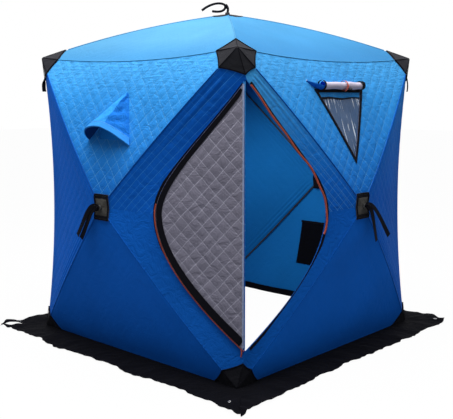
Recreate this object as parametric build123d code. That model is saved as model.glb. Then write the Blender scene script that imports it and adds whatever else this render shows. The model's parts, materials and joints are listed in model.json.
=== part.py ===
"""Pop-up hub shelter for ice fishing: an insulated fabric cube on a sprung pole frame.

Origin: middle of the footprint, on the ground. +Z up, walls square to X and Y.
The front wall faces -Y, the right wall faces +X, and the door wraps round the
corner between them. Every wall is the same four-sided pyramid of cloth: four
poles spring from a hub that is pushed out in its middle and run to its corners.
"""

from build123d import *
from math import atan2, cos, degrees, pi
import os

# ---------------------------------------------------------------- driving sizes
# Shell
base_half = 890.0            # from the middle to a wall, at the ground
top_half = 850.0             # from the middle to a wall, at the top corners
corner_height = 1805.0       # ground to the top corners
apex_height = 2080.0         # ground to the roof hub
hub_height = 935.0           # ground to the wall hubs
hub_out = 195.0              # how far a wall hub stands out past the base
fabric = 8.0                 # quilted cloth, wadding and lining together

# How far the tensioned cloth and poles leave the straight line between their ends
wall_pole_bow = 25.0         # wall poles bend outward
roof_pole_bow = 33.0         # roof poles bend upward
corner_draw = 42.0           # cloth corners are drawn in between their ends
eave_draw = 38.0             # eaves are drawn in ...
eave_sag = 40.0              # ... and hang down at their middle

# Door: two halves that meet on a straight fold, each with a curved zip
fold_shift = 57.0            # fold line, past the corner, along the right wall
door_bottom = 200.0          # height of the lower end of the fold
door_top = 1650.0            # height of the upper end of the fold
door_reach = 553.0           # fold to the widest point of either zip
door_belly = 0.50            # height of the widest point, as a share of the fold
zip_gap = 8.0                # slit between a door half and the wall, and at the fold
fold_offset = 7.0            # hinge line of the flap, proud of the cloth
flap_band_width = 38.0
flap_band = 2.0              # thickness of the band on the flap
zip_tape_width = 16.0
zip_tape = 1.6

# Window (right and left walls): a triangle pointing down
window_half_width = 229.0
window_top = 1594.0
window_point = 1195.0
pane_top = 1552.0            # the clear pane stops below the top of the binding
pane = 1.0
pane_lap = 7.0               # pane runs under the binding
binding_width = 20.0
binding = 2.4
roll_diameter = 54.0
roll_length = 440.0
roll_rise = 32.0             # middle of the roll above the window's top

# Vent (front and back walls): a hooded opening
vent_half_width = 188.0
vent_shift = -16.0           # middle of the hood's mouth, along the wall
vent_tip_shift = 45.0        # tip of the hood, along the wall
vent_tip_height = 1598.0
vent_left_height = 1312.0    # mouth of the hood at its left end
vent_right_height = 1290.0   # ... and at its right end
vent_bulge = 90.0            # how far the mouth stands off the wall
vent_mouth_height = 1418.0   # top of the mouth
vent_hood = 4.0              # thickness of the hood's cloth
vent_gap = 1.2               # hood's sewn edges to the cloth
vent_swell = 14.0            # how far the hood's back rounds out
vent_hole_width = 230.0
vent_hole_height = 105.0
vent_hole_middle = 1372.0

# Frame
pole_diameter = 11.0
socket_diameter = 17.0
socket_length = 62.0         # from the middle of a hub
socket_floor = 24.0          # where the pole's bore starts
hub_diameter = 68.0
hub_thickness = 24.0
hub_proud = 1.5              # outer face of a hub past the middle of its sockets
pole_tip_gap = 46.0          # bare end between a pole's tip and the corner
bore_clearance = 0.3
frame_clearance = 3.0        # sockets to the lining

# Reinforcements
trim_gap = 0.6               # covers stand this far off the cloth
trim = 3.0                   # thickness of covers and patches
patch_half_width = 62.0
patch_half_height = 76.0
inner_patch_half_width = 37.0
inner_patch_half_height = 67.0
roof_patch_half = 70.0
button_diameter = 30.0
button_height = 7.0
cover_eave = 155.0           # reach of a top cover along the eave
cover_ridge = 142.0          # ... down the corner
cover_roof = 160.0           # ... up the roof pole
cover_pole = 142.0           # ... along the wall poles
foot_edge = 160.0            # reach of a bottom cover along the ground
foot_ridge = 132.0           # ... up the corner
foot_pole = 120.0            # ... along the wall poles

# Skirt on the ground, and the hem behind the wall's lower edge
skirt_width = 258.0
skirt = 4.0
skirt_wave = 9.0             # ripple of the skirt's free edge
skirt_ripples = 3
hem_height = 42.0
hem_gap = 1.0
hem_end = 110.0              # the hem stops short of the corner poles
eyelet_diameter = 13.0
eyelet_inset = 38.0

# Straps
strap_width = 25.0
strap = 2.2
strap_length = 205.0
strap_splay = 140.0
tab_length = 92.0            # guy-rope tabs under three top corners
tab_seam = 24.0              # how far a tab is sewn up under its cover          # sideways drift of a tail's end
roof_strap_width = 14.0
roof_strap_rise = 62.0
roof_strap_reach = 165.0

# Pocket on the back wall's lining
pocket_half_width = 135.0
pocket_bottom = 262.0
pocket_top = 600.0
pocket_depth = 14.0

WALLS = ("front", "right", "back", "left")
os.makedirs("parts", exist_ok=True)


# ------------------------------------------------------------- cloth as patches
def turned(point, wall):
    """A point of the front wall, carried round to wall 0, 1, 2 or 3."""
    return point.rotate(Axis.Z, 90.0 * wall)


def middle(a, b):
    return (a + b) * 0.5


def between(a, b, share):
    return a + (b - a) * share


def flat_curve(a, b):
    """Quadratic control points of a straight edge."""
    return [a, middle(a, b), b]


def bowed_curve(a, b, bow):
    """Quadratic control points from a to b whose middle is moved by bow."""
    return [a, middle(a, b) + bow * 2.0, b]


def coons_net(first, last, left, right):
    """3 x 3 control net filling four quadratic edges."""
    corner_sum = first[0] + first[2] + last[0] + last[2]
    core = middle(left[1], right[1]) + middle(first[1], last[1]) - corner_sum * 0.25
    return [first, [left[1], core, right[1]], last]


def ruled_net(left, right):
    """Control net that is straight from one curve to the other."""
    return [[a, b] for a, b in zip(left, right)]


def cloth(outer, inner):
    """Closed solid between two control nets of the same layout."""
    faces = [Face.make_bezier_surface(outer), Face.make_bezier_surface(inner)]
    borders = []
    for net in (outer, inner):
        columns = [[row[0] for row in net], [row[-1] for row in net]]
        borders.append([net[0], net[-1]] + columns)
    for above, below in zip(*borders):
        if (above[0] - above[-1]).length < 0.001:
            continue
        faces.append(Face.make_surface_from_curves(Edge.make_bezier(*above), Edge.make_bezier(*below)))
    return Solid(Shell(Face.sew_faces(faces)[0]))


def shell_between(faces):
    return Solid(Shell(Face.sew_faces(faces)[0]))


# ------------------------------------------ control points at a depth in the cloth
# Depth 0 is the outer face, depth `fabric` the lining, and a negative depth lies
# outside. Neighbours share these curves, so their seams meet without a gap.
up = Vector(0, 0, 1)
base_height = skirt          # the walls stand on the skirt


def hub_point(depth):
    return Vector(0, -(base_half + hub_out) + depth, hub_height)


def top_corner(side, depth):
    """Top corner of the front wall: side -1 is left, +1 is right."""
    return Vector(side * (top_half - depth), -top_half + depth, corner_height - 0.6 * depth)


def base_corner(side, depth):
    return Vector(side * (base_half - depth), -base_half + depth, base_height)


def roof_point(depth):
    return Vector(0, 0, apex_height - depth)


outward = Vector(0, -1, 0)


def pole_line(side, level, depth):
    """From the hub to a corner of the front wall; level is 'top' or 'base'."""
    end = top_corner(side, depth) if level == "top" else base_corner(side, depth)
    return bowed_curve(hub_point(depth), end, outward * wall_pole_bow)


def corner_line(side, depth):
    inward = Vector(-side, 1, 0) * corner_draw
    return bowed_curve(top_corner(side, depth), base_corner(side, depth), inward)


def eave_line(depth):
    drop = Vector(0, eave_draw, -eave_sag)
    return bowed_curve(top_corner(-1, depth), top_corner(1, depth), drop)


def roof_line(side, depth):
    return bowed_curve(roof_point(depth), top_corner(side, depth), up * roof_pole_bow)


def wall_net(name, depth):
    """Control net of one of the four cloth triangles of the front wall."""
    hub = [hub_point(depth)] * 3
    if name == "upper":
        return coons_net(hub, eave_line(depth), pole_line(-1, "top", depth), pole_line(1, "top", depth))
    if name == "lower":
        ground = flat_curve(base_corner(-1, depth), base_corner(1, depth))
        return coons_net(hub, ground, pole_line(-1, "base", depth), pole_line(1, "base", depth))
    side = -1 if name == "left" else 1
    edge = corner_line(side, depth)
    return coons_net(hub, edge, pole_line(side, "top", depth), pole_line(side, "base", depth))


def roof_net(depth):
    apex = [roof_point(depth)] * 3
    return coons_net(apex, eave_line(depth), roof_line(-1, depth), roof_line(1, depth))


def wall_layer(name, near, far):
    """The cloth triangle between two depths, on the front wall."""
    return cloth(wall_net(name, near), wall_net(name, far))


# -------------------------------------------------------------- door corner layout
def fold_end(height, depth):
    """End of the fold line: on the right wall, just past the corner."""
    share = height / corner_height
    half = base_half + (top_half - base_half) * share
    swell = fold_shift * hub_out / base_half
    return Vector(half + swell - depth * 0.7, -half + fold_shift + depth * 0.7, height)


fold_foot = fold_end(door_bottom, 0)
fold_head = fold_end(door_top, 0)
fold_length = (fold_head - fold_foot).length
fold_axis = (fold_head - fold_foot).normalized()


def door_plane(wall_hub, side):
    """Plane of a door half: x from the fold towards the hub, y up the fold."""
    reach = wall_hub - fold_foot
    reach = (reach - fold_axis * reach.dot(fold_axis)).normalized()
    normal = reach.cross(fold_axis) * side
    return Plane(origin=fold_foot, x_dir=reach, z_dir=normal * side), normal


# Outward normals: the right half's plane faces out, the left half's faces in.
right_hub = turned(hub_point(0), 1)
left_plane, left_out = door_plane(hub_point(0), -1)
right_plane, right_out = door_plane(right_hub, 1)

belly = door_belly * fold_length
lower_zip = [(0, 0), (0.52 * door_reach, 0.30 * belly), (door_reach, 0.66 * belly), (door_reach, belly)]
upper_rise = fold_length - belly
upper_zip = [
    (door_reach, belly),
    (door_reach, belly + 0.27 * upper_rise),
    (0.46 * door_reach, belly + 0.58 * upper_rise),
    (0, fold_length),
]


def zip_edge(points, grow):
    """One zip as an edge, moved out of the door half by grow; its ends run past the fold."""
    path = Edge.make_bezier(*points)
    steps = 8
    moved = []
    for step in range(steps + 1):
        heading = path.tangent_at(step / steps)
        moved.append(path.position_at(step / steps) + Vector(heading.Y, -heading.X) * grow)
    return Edge.make_spline(moved, tangents=[path.tangent_at(0), path.tangent_at(1)])


def half_eye(grow):
    """Outline of a door half in its own plane, grown or drawn in along its zip and fold."""
    lower = zip_edge(lower_zip, grow)
    upper = zip_edge(upper_zip, grow)
    eye = Face(Wire([lower, upper, Edge.make_line(upper @ 1, lower @ 0)]))
    keep = Pos(max(0, -grow) + door_reach, fold_length / 2) * Rectangle(2 * door_reach, 2 * fold_length)
    return eye & keep


def zip_curve(plane, normal, points, depth):
    """Control points of a zip in space; its ends on the fold are shared by both walls."""
    placed = []
    for x, y in points:
        if x == 0:
            placed.append(fold_end(door_bottom if y == 0 else door_top, depth))
        else:
            placed.append(plane.from_local_coords(Vector(x, y, 0)) - normal * depth)
    return placed


def cubic(curve):
    """The same quadratic curve with cubic control points."""
    a, b, c = curve
    return [a, (a + b * 2) / 3, (c + b * 2) / 3, c]


def door_strip_net(wall, level, depth):
    """Cloth between a pole and the door's zip, above or below the hub's seam."""
    plane, normal = (left_plane, left_out) if wall == 0 else (right_plane, right_out)
    side = 1 if wall == 0 else -1
    pole = [turned(point, wall) for point in pole_line(side, "top" if level == "upper" else "base", depth)]
    if level == "upper":
        edge = zip_curve(plane, normal, upper_zip, depth)
    else:
        edge = zip_curve(plane, normal, list(reversed(lower_zip)), depth)
    return ruled_net(cubic(pole), edge)


def door_strip(wall, level, near, far):
    return cloth(door_strip_net(wall, level, near), door_strip_net(wall, level, far))


# ----------------------------------------------------------------------- walls
def prism(outline, height_span):
    """Prism through the front wall from an outline drawn in X and Z."""
    front = Plane(origin=(0, -height_span[1], 0), x_dir=(1, 0, 0), z_dir=(0, 1, 0))
    sketch = Plane(origin=(0, 0, 0), x_dir=(1, 0, 0), z_dir=(0, -1, 0)) * outline
    sketch = Pos(0, -height_span[0], 0) * sketch
    return extrude(sketch, amount=height_span[1] - height_span[0])


wall_span = (top_half - 200.0, base_half + hub_out + 200.0)


def window_outline(margin):
    """Window triangle, grown by a margin on every side."""
    triangle = Polygon(
        (-window_half_width, window_top),
        (0, window_point),
        (window_half_width, window_top),
        align=None,
    )
    if margin == 0:
        return triangle
    return offset(triangle, amount=margin, kind=Kind.INTERSECTION)


def below(outline, height):
    """The part of an outline under a height."""
    cutter = Pos(0, height - corner_height / 2) * Rectangle(2 * top_half, corner_height)
    return outline & cutter


def vent_hole():
    hole = RectangleRounded(vent_hole_width, vent_hole_height, 20)
    return prism(Pos(vent_shift, vent_hole_middle) * hole, wall_span)


def upper_wall(wall):
    panel = wall_layer("upper", 0, fabric)
    if wall % 2 == 0:
        panel = panel - vent_hole()
    else:
        panel = panel - prism(below(window_outline(0), pane_top), wall_span)
    return panel


def window_pane():
    outline = below(window_outline(pane_lap), pane_top + pane_lap)
    layer = wall_layer("upper", -trim_gap - pane, -trim_gap)
    return layer & prism(outline, wall_span)


def window_binding():
    gap = trim_gap + pane + 0.2
    layer = wall_layer("upper", -gap - binding, -gap)
    ring = window_outline(binding_width * 0.5) - window_outline(-binding_width * 0.5)
    bar = Pos(0, pane_top) * Rectangle(2 * window_half_width, binding_width * 0.5)
    bar = bar & window_outline(0)
    return layer & prism(ring + bar, wall_span)


def surface_point(x, z, depth):
    """Point of the upper front cloth at a place along and up the wall."""
    face = Face.make_bezier_surface(wall_net("upper", depth))
    hits = face.find_intersection_points(Axis((x, -3000, z), (0, 1, 0)))
    return min((hit[0] for hit in hits), key=lambda point: point.Y)


def window_roll():
    """The blackout flap, rolled up and tied over the window."""
    height = window_top + roll_rise
    seat = surface_point(0, height - roll_diameter * 0.3, -1.5)
    axis_place = Vector(0, seat.Y - roll_diameter * 0.5, height)
    ends = Plane(origin=axis_place - Vector(roll_length / 2, 0, 0), z_dir=(1, 0, 0))
    roll = extrude(ends * Circle(roll_diameter / 2), amount=roll_length)
    core = extrude(ends * Circle(roll_diameter / 2 - 15), amount=16)
    far = Plane(origin=axis_place + Vector(roll_length / 2, 0, 0), z_dir=(-1, 0, 0))
    return roll - core - extrude(far * Circle(roll_diameter / 2 - 15), amount=16)


def on_wall(x, z):
    """Place just outside the upper front cloth."""
    return surface_point(x, z, -vent_gap)


def edge_control(start, end):
    """Middle control point of an edge that follows the cloth between two places on it."""
    seat = on_wall((start.X + end.X) / 2, (start.Z + end.Z) / 2)
    return seat * 2 - middle(start, end)


def vent_net(depth):
    """Hood: from its tip on the wall to the arched mouth that stands off it."""
    left = on_wall(vent_shift - vent_half_width + depth, vent_left_height)
    right = on_wall(vent_shift + vent_half_width - depth, vent_right_height)
    tip = on_wall(vent_tip_shift, vent_tip_height - 2 * depth)
    crown = min(left.Y, right.Y) - vent_bulge * 4 / 3 + depth
    shoulder = 0.30 * vent_half_width
    mouth = [
        left,
        Vector(left.X + 0.1 * shoulder, crown, vent_mouth_height - 0.4 * depth),
        Vector(right.X - 0.6 * shoulder, crown, vent_mouth_height + 0.5 * shoulder - 0.4 * depth),
        right,
    ]
    swell = Vector(0, -vent_swell + 0.4 * depth, 0)
    half_way = [
        edge_control(tip, left),
        middle(tip, mouth[1]) + swell,
        middle(tip, mouth[2]) + swell,
        edge_control(tip, right),
    ]
    return [[tip] * 4, half_way, mouth]


def vent_hood_solid():
    return cloth(vent_net(0), vent_net(vent_hood))


# -------------------------------------------------------------------- frame
pole_depth = fabric + socket_diameter / 2 + frame_clearance


def pole_arc(curve):
    """A sprung pole bends to an arc through the ends and the middle of its curve."""
    start, control, end = curve
    return Edge.make_three_point_arc(start, middle(middle(start, end), control), end)


def pole_path(curve, start_gap, end_gap):
    """Pole centre line, cut back from both ends of its arc."""
    path = pole_arc(curve)
    return path.trim(start_gap / path.length, 1 - end_gap / path.length)


def rod(path, diameter):
    section = Plane(origin=path @ 0, z_dir=path % 0) * Circle(diameter / 2)
    return sweep(section, path=path)


def wall_pole_curves():
    return [pole_line(side, level, pole_depth) for level in ("top", "base") for side in (-1, 1)]


def roof_pole_curves():
    curves = []
    for wall in range(4):
        curves.append([turned(point, wall) for point in roof_line(1, pole_depth)])
    return curves


def poles(curves):
    return [rod(pole_path(curve, socket_floor + 1, pole_tip_gap), pole_diameter) for curve in curves]


def hub(centre, facing, curves):
    """Moulded hub with one socket for each pole."""
    plate = Plane(origin=centre - facing * (hub_thickness - hub_proud), z_dir=facing)
    body = extrude(plate * Circle(hub_diameter / 2), amount=hub_thickness)
    body = chamfer(body.edges().group_by(SortBy.LENGTH)[-1], 2)
    roots = [Plane(origin=pole_arc(curve) @ 0, z_dir=pole_arc(curve) % 0) for curve in curves]
    for root in roots:
        body = body + extrude(root * Circle(socket_diameter / 2), amount=socket_length)
    for root in roots:
        bore = root.offset(socket_floor) * Circle(pole_diameter / 2 + bore_clearance)
        body = body - extrude(bore, amount=socket_length)
    return body


# ---------------------------------------------------------- covers and patches
def fan(centre, ring, closed):
    """Thin faceted cap: (outer, inner) centre points and rings of such pairs."""
    faces = []
    count = len(ring)
    last = count if closed else count - 1
    for index in range(last):
        a, b = ring[index], ring[(index + 1) % count]
        for layer in (0, 1):
            faces.append(Face(Wire.make_polygon([centre[layer], a[layer], b[layer]], close=True)))
        faces.append(edge_strip(a, b))
    if not closed:
        faces.append(edge_strip(centre, ring[0]))
        faces.append(edge_strip(centre, ring[-1]))
    return shell_between(faces)


def edge_strip(a, b):
    return Face.make_surface_from_curves(Edge.make_line(a[0], b[0]), Edge.make_line(a[1], b[1]))


def along(curve, distance, from_end):
    """Point on a quadratic curve at a distance from its start or its end."""
    path = Edge.make_bezier(*curve)
    share = distance / path.length
    return path @ (1 - share if from_end else share)


cover_depths = (-trim_gap - trim, -trim_gap)


def pairs(make):
    return tuple(make(depth) for depth in cover_depths)


def top_cover(corner):
    """Cap on the top corner between wall `corner` and the next one."""
    following = (corner + 1) % 4

    def ridge(depth):
        if corner == 0:
            return flat_curve(top_corner(1, depth), fold_end(door_top, depth))
        return [turned(point, corner) for point in corner_line(1, depth)]

    def on(curve, wall, distance, from_end):
        return lambda depth: turned(along(curve(depth), distance, from_end), wall)

    ring = [
        on(lambda d: roof_line(1, d), corner, cover_roof, True),
        on(eave_line, corner, cover_eave, True),
        on(lambda d: pole_line(1, "top", d), corner, cover_pole, True),
        lambda d: along(ridge(d), cover_ridge, False),
        on(lambda d: pole_line(-1, "top", d), following, cover_pole, True),
        on(eave_line, following, cover_eave, False),
    ]
    centre = pairs(lambda d: turned(top_corner(1, d), corner))
    return fan(centre, [pairs(place) for place in ring], True)


def corner_tab(corner):
    """Webbing tab for a guy rope, sewn under a top corner's cover."""
    start = along(corner_line(1, -trim_gap - trim / 2), cover_ridge - tab_seam, False)
    diagonal = Vector(1, -1, 0).normalized()
    route = [
        start,
        start + diagonal * 9 - up * 0.33 * tab_length,
        start + diagonal * 15 - up * 0.67 * tab_length,
        start + diagonal * 9 - up * tab_length,
    ]
    route = [turned(point, corner) for point in route]
    across = turned(Vector(1, 1, 0).normalized() * strap_width, corner)
    return ribbon(route, across, turned(diagonal * strap, corner))


def bottom_cover(corner):
    """Three-sided cap at the foot of the corner between two walls."""
    following = (corner + 1) % 4

    def ridge_foot(depth):
        if corner == 0:
            foot = base_corner(1, depth)
            return between(foot, fold_end(door_bottom, depth), foot_ridge / door_bottom)
        return turned(along(corner_line(1, depth), foot_ridge, True), corner)

    def ground(side, wall):
        return lambda d: turned(base_corner(side, d) - Vector(side * foot_edge, 0, 0), wall)

    def pole_foot(side, wall):
        return lambda d: turned(along(pole_line(side, "base", d), foot_pole, True), wall)

    ring = [ground(1, corner), pole_foot(1, corner), ridge_foot, pole_foot(-1, following), ground(-1, following)]
    centre = pairs(lambda d: turned(base_corner(1, d), corner))
    return fan(centre, [pairs(place) for place in ring], False)


def cloth_round_hub(wall, near, far):
    """Every cloth that meets at a wall's hub, between two depths, on the front wall."""
    layers = [wall_layer("upper", near, far), wall_layer("lower", near, far)]
    if wall != 1:
        layers.append(wall_layer("left", near, far))
    if wall != 0:
        layers.append(wall_layer("right", near, far))
    if wall in (0, 1):
        for level in ("upper", "lower"):
            layers.append(door_strip(wall, level, near, far).rotate(Axis.Z, -90.0 * wall))
    return layers


def patch(layers, block):
    """One patch cut from several layers that meet edge to edge."""
    whole = layers[0] & block
    for layer in layers[1:]:
        whole = whole + (layer & block)
    return whole


def button(centre, facing):
    """Round bolt head that sinks into its patch."""
    seat = Plane(origin=centre + facing * (trim_gap + 1), z_dir=facing)
    head = extrude(seat * Circle(button_diameter / 2), amount=button_height + trim - 1)
    rim = head.edges().sort_by(lambda edge: edge.center().dot(facing))[-1]
    return fillet(rim, 2.5)


def inner_patch():
    """Flat patch on the lining side that closes the front wall's hub in."""
    seat = hub_point(pole_depth + hub_thickness - hub_proud + trim_gap)
    plane = Plane(origin=seat, x_dir=(1, 0, 0), z_dir=(0, 1, 0))
    outline = RectangleRounded(2 * inner_patch_half_width, 2 * inner_patch_half_height, 8)
    return extrude(plane * outline, amount=trim)


def hub_patch(wall):
    outline = Pos(0, hub_height) * Rectangle(2 * patch_half_width, 2 * patch_half_height)
    outer = patch(cloth_round_hub(wall, *cover_depths), prism(outline, wall_span))
    return outer + button(hub_point(0), outward)


def roof_patch():
    layers = [cloth(roof_net(cover_depths[0]), roof_net(cover_depths[1])).rotate(Axis.Z, 90.0 * wall)
              for wall in range(4)]
    block = Pos(0, 0, apex_height) * Box(2 * roof_patch_half, 2 * roof_patch_half, 4 * roof_patch_half)
    return patch(layers, block) + button(roof_point(0), up)


# -------------------------------------------------------------------- skirt
def skirt_side():
    """One side of the ground skirt, with the hem that stands inside the wall."""
    hem_face = base_half - fabric - hem_gap
    outer = base_half + skirt_width
    count = 4 * skirt_ripples
    edge = []
    for step in range(count + 1):
        share = step / count
        ripple = skirt_wave * (1 - cos(2 * pi * skirt_ripples * share)) / 2
        edge.append(Vector(outer * (2 * share - 1), -outer - ripple))
    near_left = Vector(-hem_face, -hem_face)
    near_right = Vector(hem_face, -hem_face)
    outline = Wire([
        Edge.make_line(near_left, edge[0]),
        Edge.make_spline(edge),
        Edge.make_line(edge[-1], near_right),
        Edge.make_line(near_right, near_left),
    ])
    sheet = extrude(Face(outline), amount=skirt, dir=up)
    for share in (-1, 0, 1):
        place = Pos(share * (outer - 3 * eyelet_inset), -outer + eyelet_inset, 0)
        sheet = sheet - place * Cylinder(eyelet_diameter / 2, 4 * skirt)
    hem = Box(2 * (base_half - hem_end), skirt, hem_height, align=(Align.CENTER, Align.MIN, Align.MIN))
    return sheet + Pos(0, -hem_face, 0) * hem


# -------------------------------------------------------------------- straps
def ribbon(route, width, thickness):
    """Webbing along four control points; width and thickness are vectors."""
    left = [point - width * 0.5 for point in route]
    right = [point + width * 0.5 for point in route]
    outer = ruled_net(left, right)
    inner = [[point + thickness for point in row] for row in outer]
    return cloth(outer, inner)


def pull_strap(wall):
    """Two webbing tails knotted at a wall hub."""
    face = base_half + hub_out + trim_gap + trim + button_height + 1.0
    knot = Pos(0, -face - 6, hub_height) * Box(strap_width + 3, 10, 24)
    lean = -1 if wall % 2 == 0 else 1
    tails = knot
    for drift, reach in ((lean * strap_splay, 0.86), (lean * strap_splay * 0.2, 1.0)):
        drop = strap_length * reach
        start = Vector(lean * 2, -face - 6, hub_height - 4)
        route = [
            start,
            start + Vector(drift * 0.15, -20, -0.25 * drop),
            start + Vector(drift * 0.7, -22, -0.6 * drop),
            start + Vector(drift, -8, -drop),
        ]
        tails = tails + ribbon(route, Vector(strap_width, 0, 0), Vector(0, strap, 0))
    return tails


def roof_strap():
    """Webbing loop and tail knotted at the roof hub."""
    foot = apex_height + trim_gap + trim + button_height + 0.2
    seat = Pos(0, 0, foot + 5) * Cylinder(12, 10)
    strap_set = seat
    lean = Vector(-0.74, -0.67, 0)
    across = Vector(-0.67, 0.74, 0) * roof_strap_width
    for rise, reach in ((1.0, 1.0), (0.72, 0.62)):
        start = Vector(0, 0, foot + 4)
        top = start + up * roof_strap_rise * rise
        route = [
            start,
            top + up * roof_strap_rise * 0.3 * rise,
            top + lean * roof_strap_reach * reach * 0.6 + up * 10,
            start + lean * roof_strap_reach * reach + up * 10,
        ]
        strap_set = strap_set + ribbon(route, across, lean * strap)
    return strap_set


# ----------------------------------------------------------- door halves and zips
def door_half(plane, normal, gap, depth):
    """Flat door half behind its outer face, drawn in by the zip's slit."""
    return extrude(plane * half_eye(-gap), amount=depth, dir=-normal)


def flap_band_piece():
    """Dark band along the flap's curved edge, on its lining."""
    inset = zip_gap + flap_band_width
    core = Face(Wire([
        zip_edge(lower_zip, -inset),
        zip_edge(upper_zip, -inset),
        Edge.make_line(zip_edge(upper_zip, -inset) @ 1, zip_edge(lower_zip, -inset) @ 0),
    ]))
    band = half_eye(-zip_gap) - core
    layer = right_plane.offset(-(fabric + trim_gap))
    return extrude(layer * band, amount=flap_band, dir=-right_out)


fold_normal = (left_out + right_out).normalized()
hinge_offset = fold_offset / fold_normal.dot(right_out)
hinge_foot = fold_foot + fold_normal * hinge_offset


def swing_angle():
    """From the closed half round to the flap lying on the fixed half."""
    left_reach, right_reach = left_plane.x_dir, right_plane.x_dir
    turn = degrees(atan2(right_reach.cross(left_reach).dot(fold_axis), right_reach.dot(left_reach)))
    return turn if turn < 0 else turn - 360


def opened(piece):
    """A piece drawn on the closed flap, swung out over the fixed half."""
    return piece.rotate(Axis(hinge_foot, fold_axis), swing_angle())


def zip_tape_net(wall, level, depth):
    """Tape on the cloth beside the zip: the zip's curve and one moved towards the pole."""
    net = door_strip_net(wall, level, depth)
    return [[row[1] + (row[0] - row[1]).normalized() * zip_tape_width, row[1]] for row in net]


def zip_tapes():
    """One ring of tape round the whole door."""
    ring = None
    for wall in (0, 1):
        for level in ("upper", "lower"):
            outer = zip_tape_net(wall, level, -trim_gap - zip_tape)
            tape = cloth(outer, zip_tape_net(wall, level, -trim_gap))
            ring = tape if ring is None else ring + tape
    return ring


# ---------------------------------------------------------------- inner pocket
def pocket():
    """Flat pocket hung on the lining of the back wall's lower cloth."""
    span = (base_half - 300.0, base_half + hub_out + 200.0)
    height = pocket_top - pocket_bottom
    outline = Pos(0, (pocket_top + pocket_bottom) / 2) * Rectangle(2 * pocket_half_width, height)
    layer = wall_layer("lower", fabric + 0.5, fabric + 0.5 + pocket_depth)
    return layer & prism(outline, span)


# ------------------------------------------------------------------ write parts
def write(name, pieces):
    solids = []
    for piece in pieces:
        solids.extend(piece.solids())
    shape = solids[0] if len(solids) == 1 else Compound(children=solids)
    shape.label = name
    export_step(shape, f"parts/{name}.step")


def place(piece, wall):
    return piece.rotate(Axis.Z, 90.0 * wall)


for wall, name in enumerate(WALLS):
    write(f"roof_{name}", [place(cloth(roof_net(0), roof_net(fabric)), wall)])
    write(f"{name}_wall_upper", [place(upper_wall(wall), wall)])
    write(f"{name}_wall_lower", [place(wall_layer("lower", 0, fabric), wall)])
    if wall != 1:
        write(f"{name}_wall_left_side", [place(wall_layer("left", 0, fabric), wall)])
    if wall != 0:
        write(f"{name}_wall_right_side", [place(wall_layer("right", 0, fabric), wall)])
    write(f"skirt_{name}", [place(skirt_side(), wall)])
    write(f"poles_{name}", [place(piece, wall) for piece in poles(wall_pole_curves())])

for wall in (0, 1):
    for level in ("upper", "lower"):
        write(f"door_strip_{WALLS[wall]}_{level}", [door_strip(wall, level, 0, fabric)])

write("door_fixed_half", [door_half(left_plane, left_out, zip_gap, fabric)])
write("door_flap", [opened(door_half(right_plane, right_out, zip_gap, fabric))])
write("door_flap_band", [opened(flap_band_piece())])
write("door_zip_tapes", [zip_tapes()])

write("poles_roof", poles(roof_pole_curves()))
hubs = [place(hub(hub_point(pole_depth), Vector(0, -1, 0), wall_pole_curves()), wall) for wall in range(4)]
hubs.append(hub(roof_point(pole_depth), up, roof_pole_curves()))
write("frame_hubs", hubs)
patches = [place(hub_patch(wall), wall) for wall in range(4)]
patches += [place(inner_patch(), wall) for wall in range(4)]
write("hub_patches", patches + [roof_patch()])
write("hub_pull_straps", [place(pull_strap(wall), wall) for wall in range(4)])
write("roof_pull_strap", [roof_strap()])
covers = [top_cover(0)] + [top_cover(corner) + corner_tab(corner) for corner in (1, 2, 3)]
write("top_corner_covers", covers)
write("bottom_corner_covers", [bottom_cover(corner) for corner in range(4)])
write("window_panes", [place(window_pane(), wall) for wall in (1, 3)])
write("window_bindings", [place(window_binding(), wall) for wall in (1, 3)])
write("window_flap_rolls", [place(window_roll(), wall) for wall in (1, 3)])
write("vent_hoods", [place(vent_hood_solid(), wall) for wall in (0, 2)])
write("inner_pocket", [place(pocket(), 2)])

print("hinge foot", hinge_foot, "axis", fold_axis, "swing", swing_angle())
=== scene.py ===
# %% [markdown]
# # A pop-up hub shelter for ice fishing
# A cube of quilted cloth is held tight by a sprung pole frame. Each wall is a low
# pyramid: four poles spring from a hub that is pushed out in the wall's middle.
# This lesson dresses the plain solids of that shelter with cloth, padding, webbing,
# zips and covers, piece by piece. The solids come first, as a fixed frame.

# %% Load the frame
import json
import math

import bmesh
import bpy
import numpy as np
from mathutils import Matrix, Vector, noise


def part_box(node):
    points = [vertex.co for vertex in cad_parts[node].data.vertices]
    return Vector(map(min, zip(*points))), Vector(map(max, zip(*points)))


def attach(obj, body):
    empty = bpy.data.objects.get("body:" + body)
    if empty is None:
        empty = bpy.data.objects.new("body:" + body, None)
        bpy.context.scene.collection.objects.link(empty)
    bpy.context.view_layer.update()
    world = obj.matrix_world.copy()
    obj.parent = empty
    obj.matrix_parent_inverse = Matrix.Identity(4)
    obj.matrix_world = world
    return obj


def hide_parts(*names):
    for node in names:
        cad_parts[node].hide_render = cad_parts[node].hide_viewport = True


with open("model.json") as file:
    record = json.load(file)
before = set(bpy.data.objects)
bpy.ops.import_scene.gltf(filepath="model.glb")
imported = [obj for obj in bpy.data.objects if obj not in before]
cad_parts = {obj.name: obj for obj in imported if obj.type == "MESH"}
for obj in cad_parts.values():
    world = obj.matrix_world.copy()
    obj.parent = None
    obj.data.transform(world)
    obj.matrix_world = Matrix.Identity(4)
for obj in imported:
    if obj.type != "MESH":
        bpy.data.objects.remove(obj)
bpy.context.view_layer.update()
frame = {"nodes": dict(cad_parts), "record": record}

# %% [markdown]
# ## Sizes read from the frame
# The cloth must sit exactly where its solid sits, so the driving sizes are read back
# from the solids' boxes. What a box can't tell, such as how far a pole bows or how
# deep the eave hangs, is repeated here as a named value.

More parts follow.
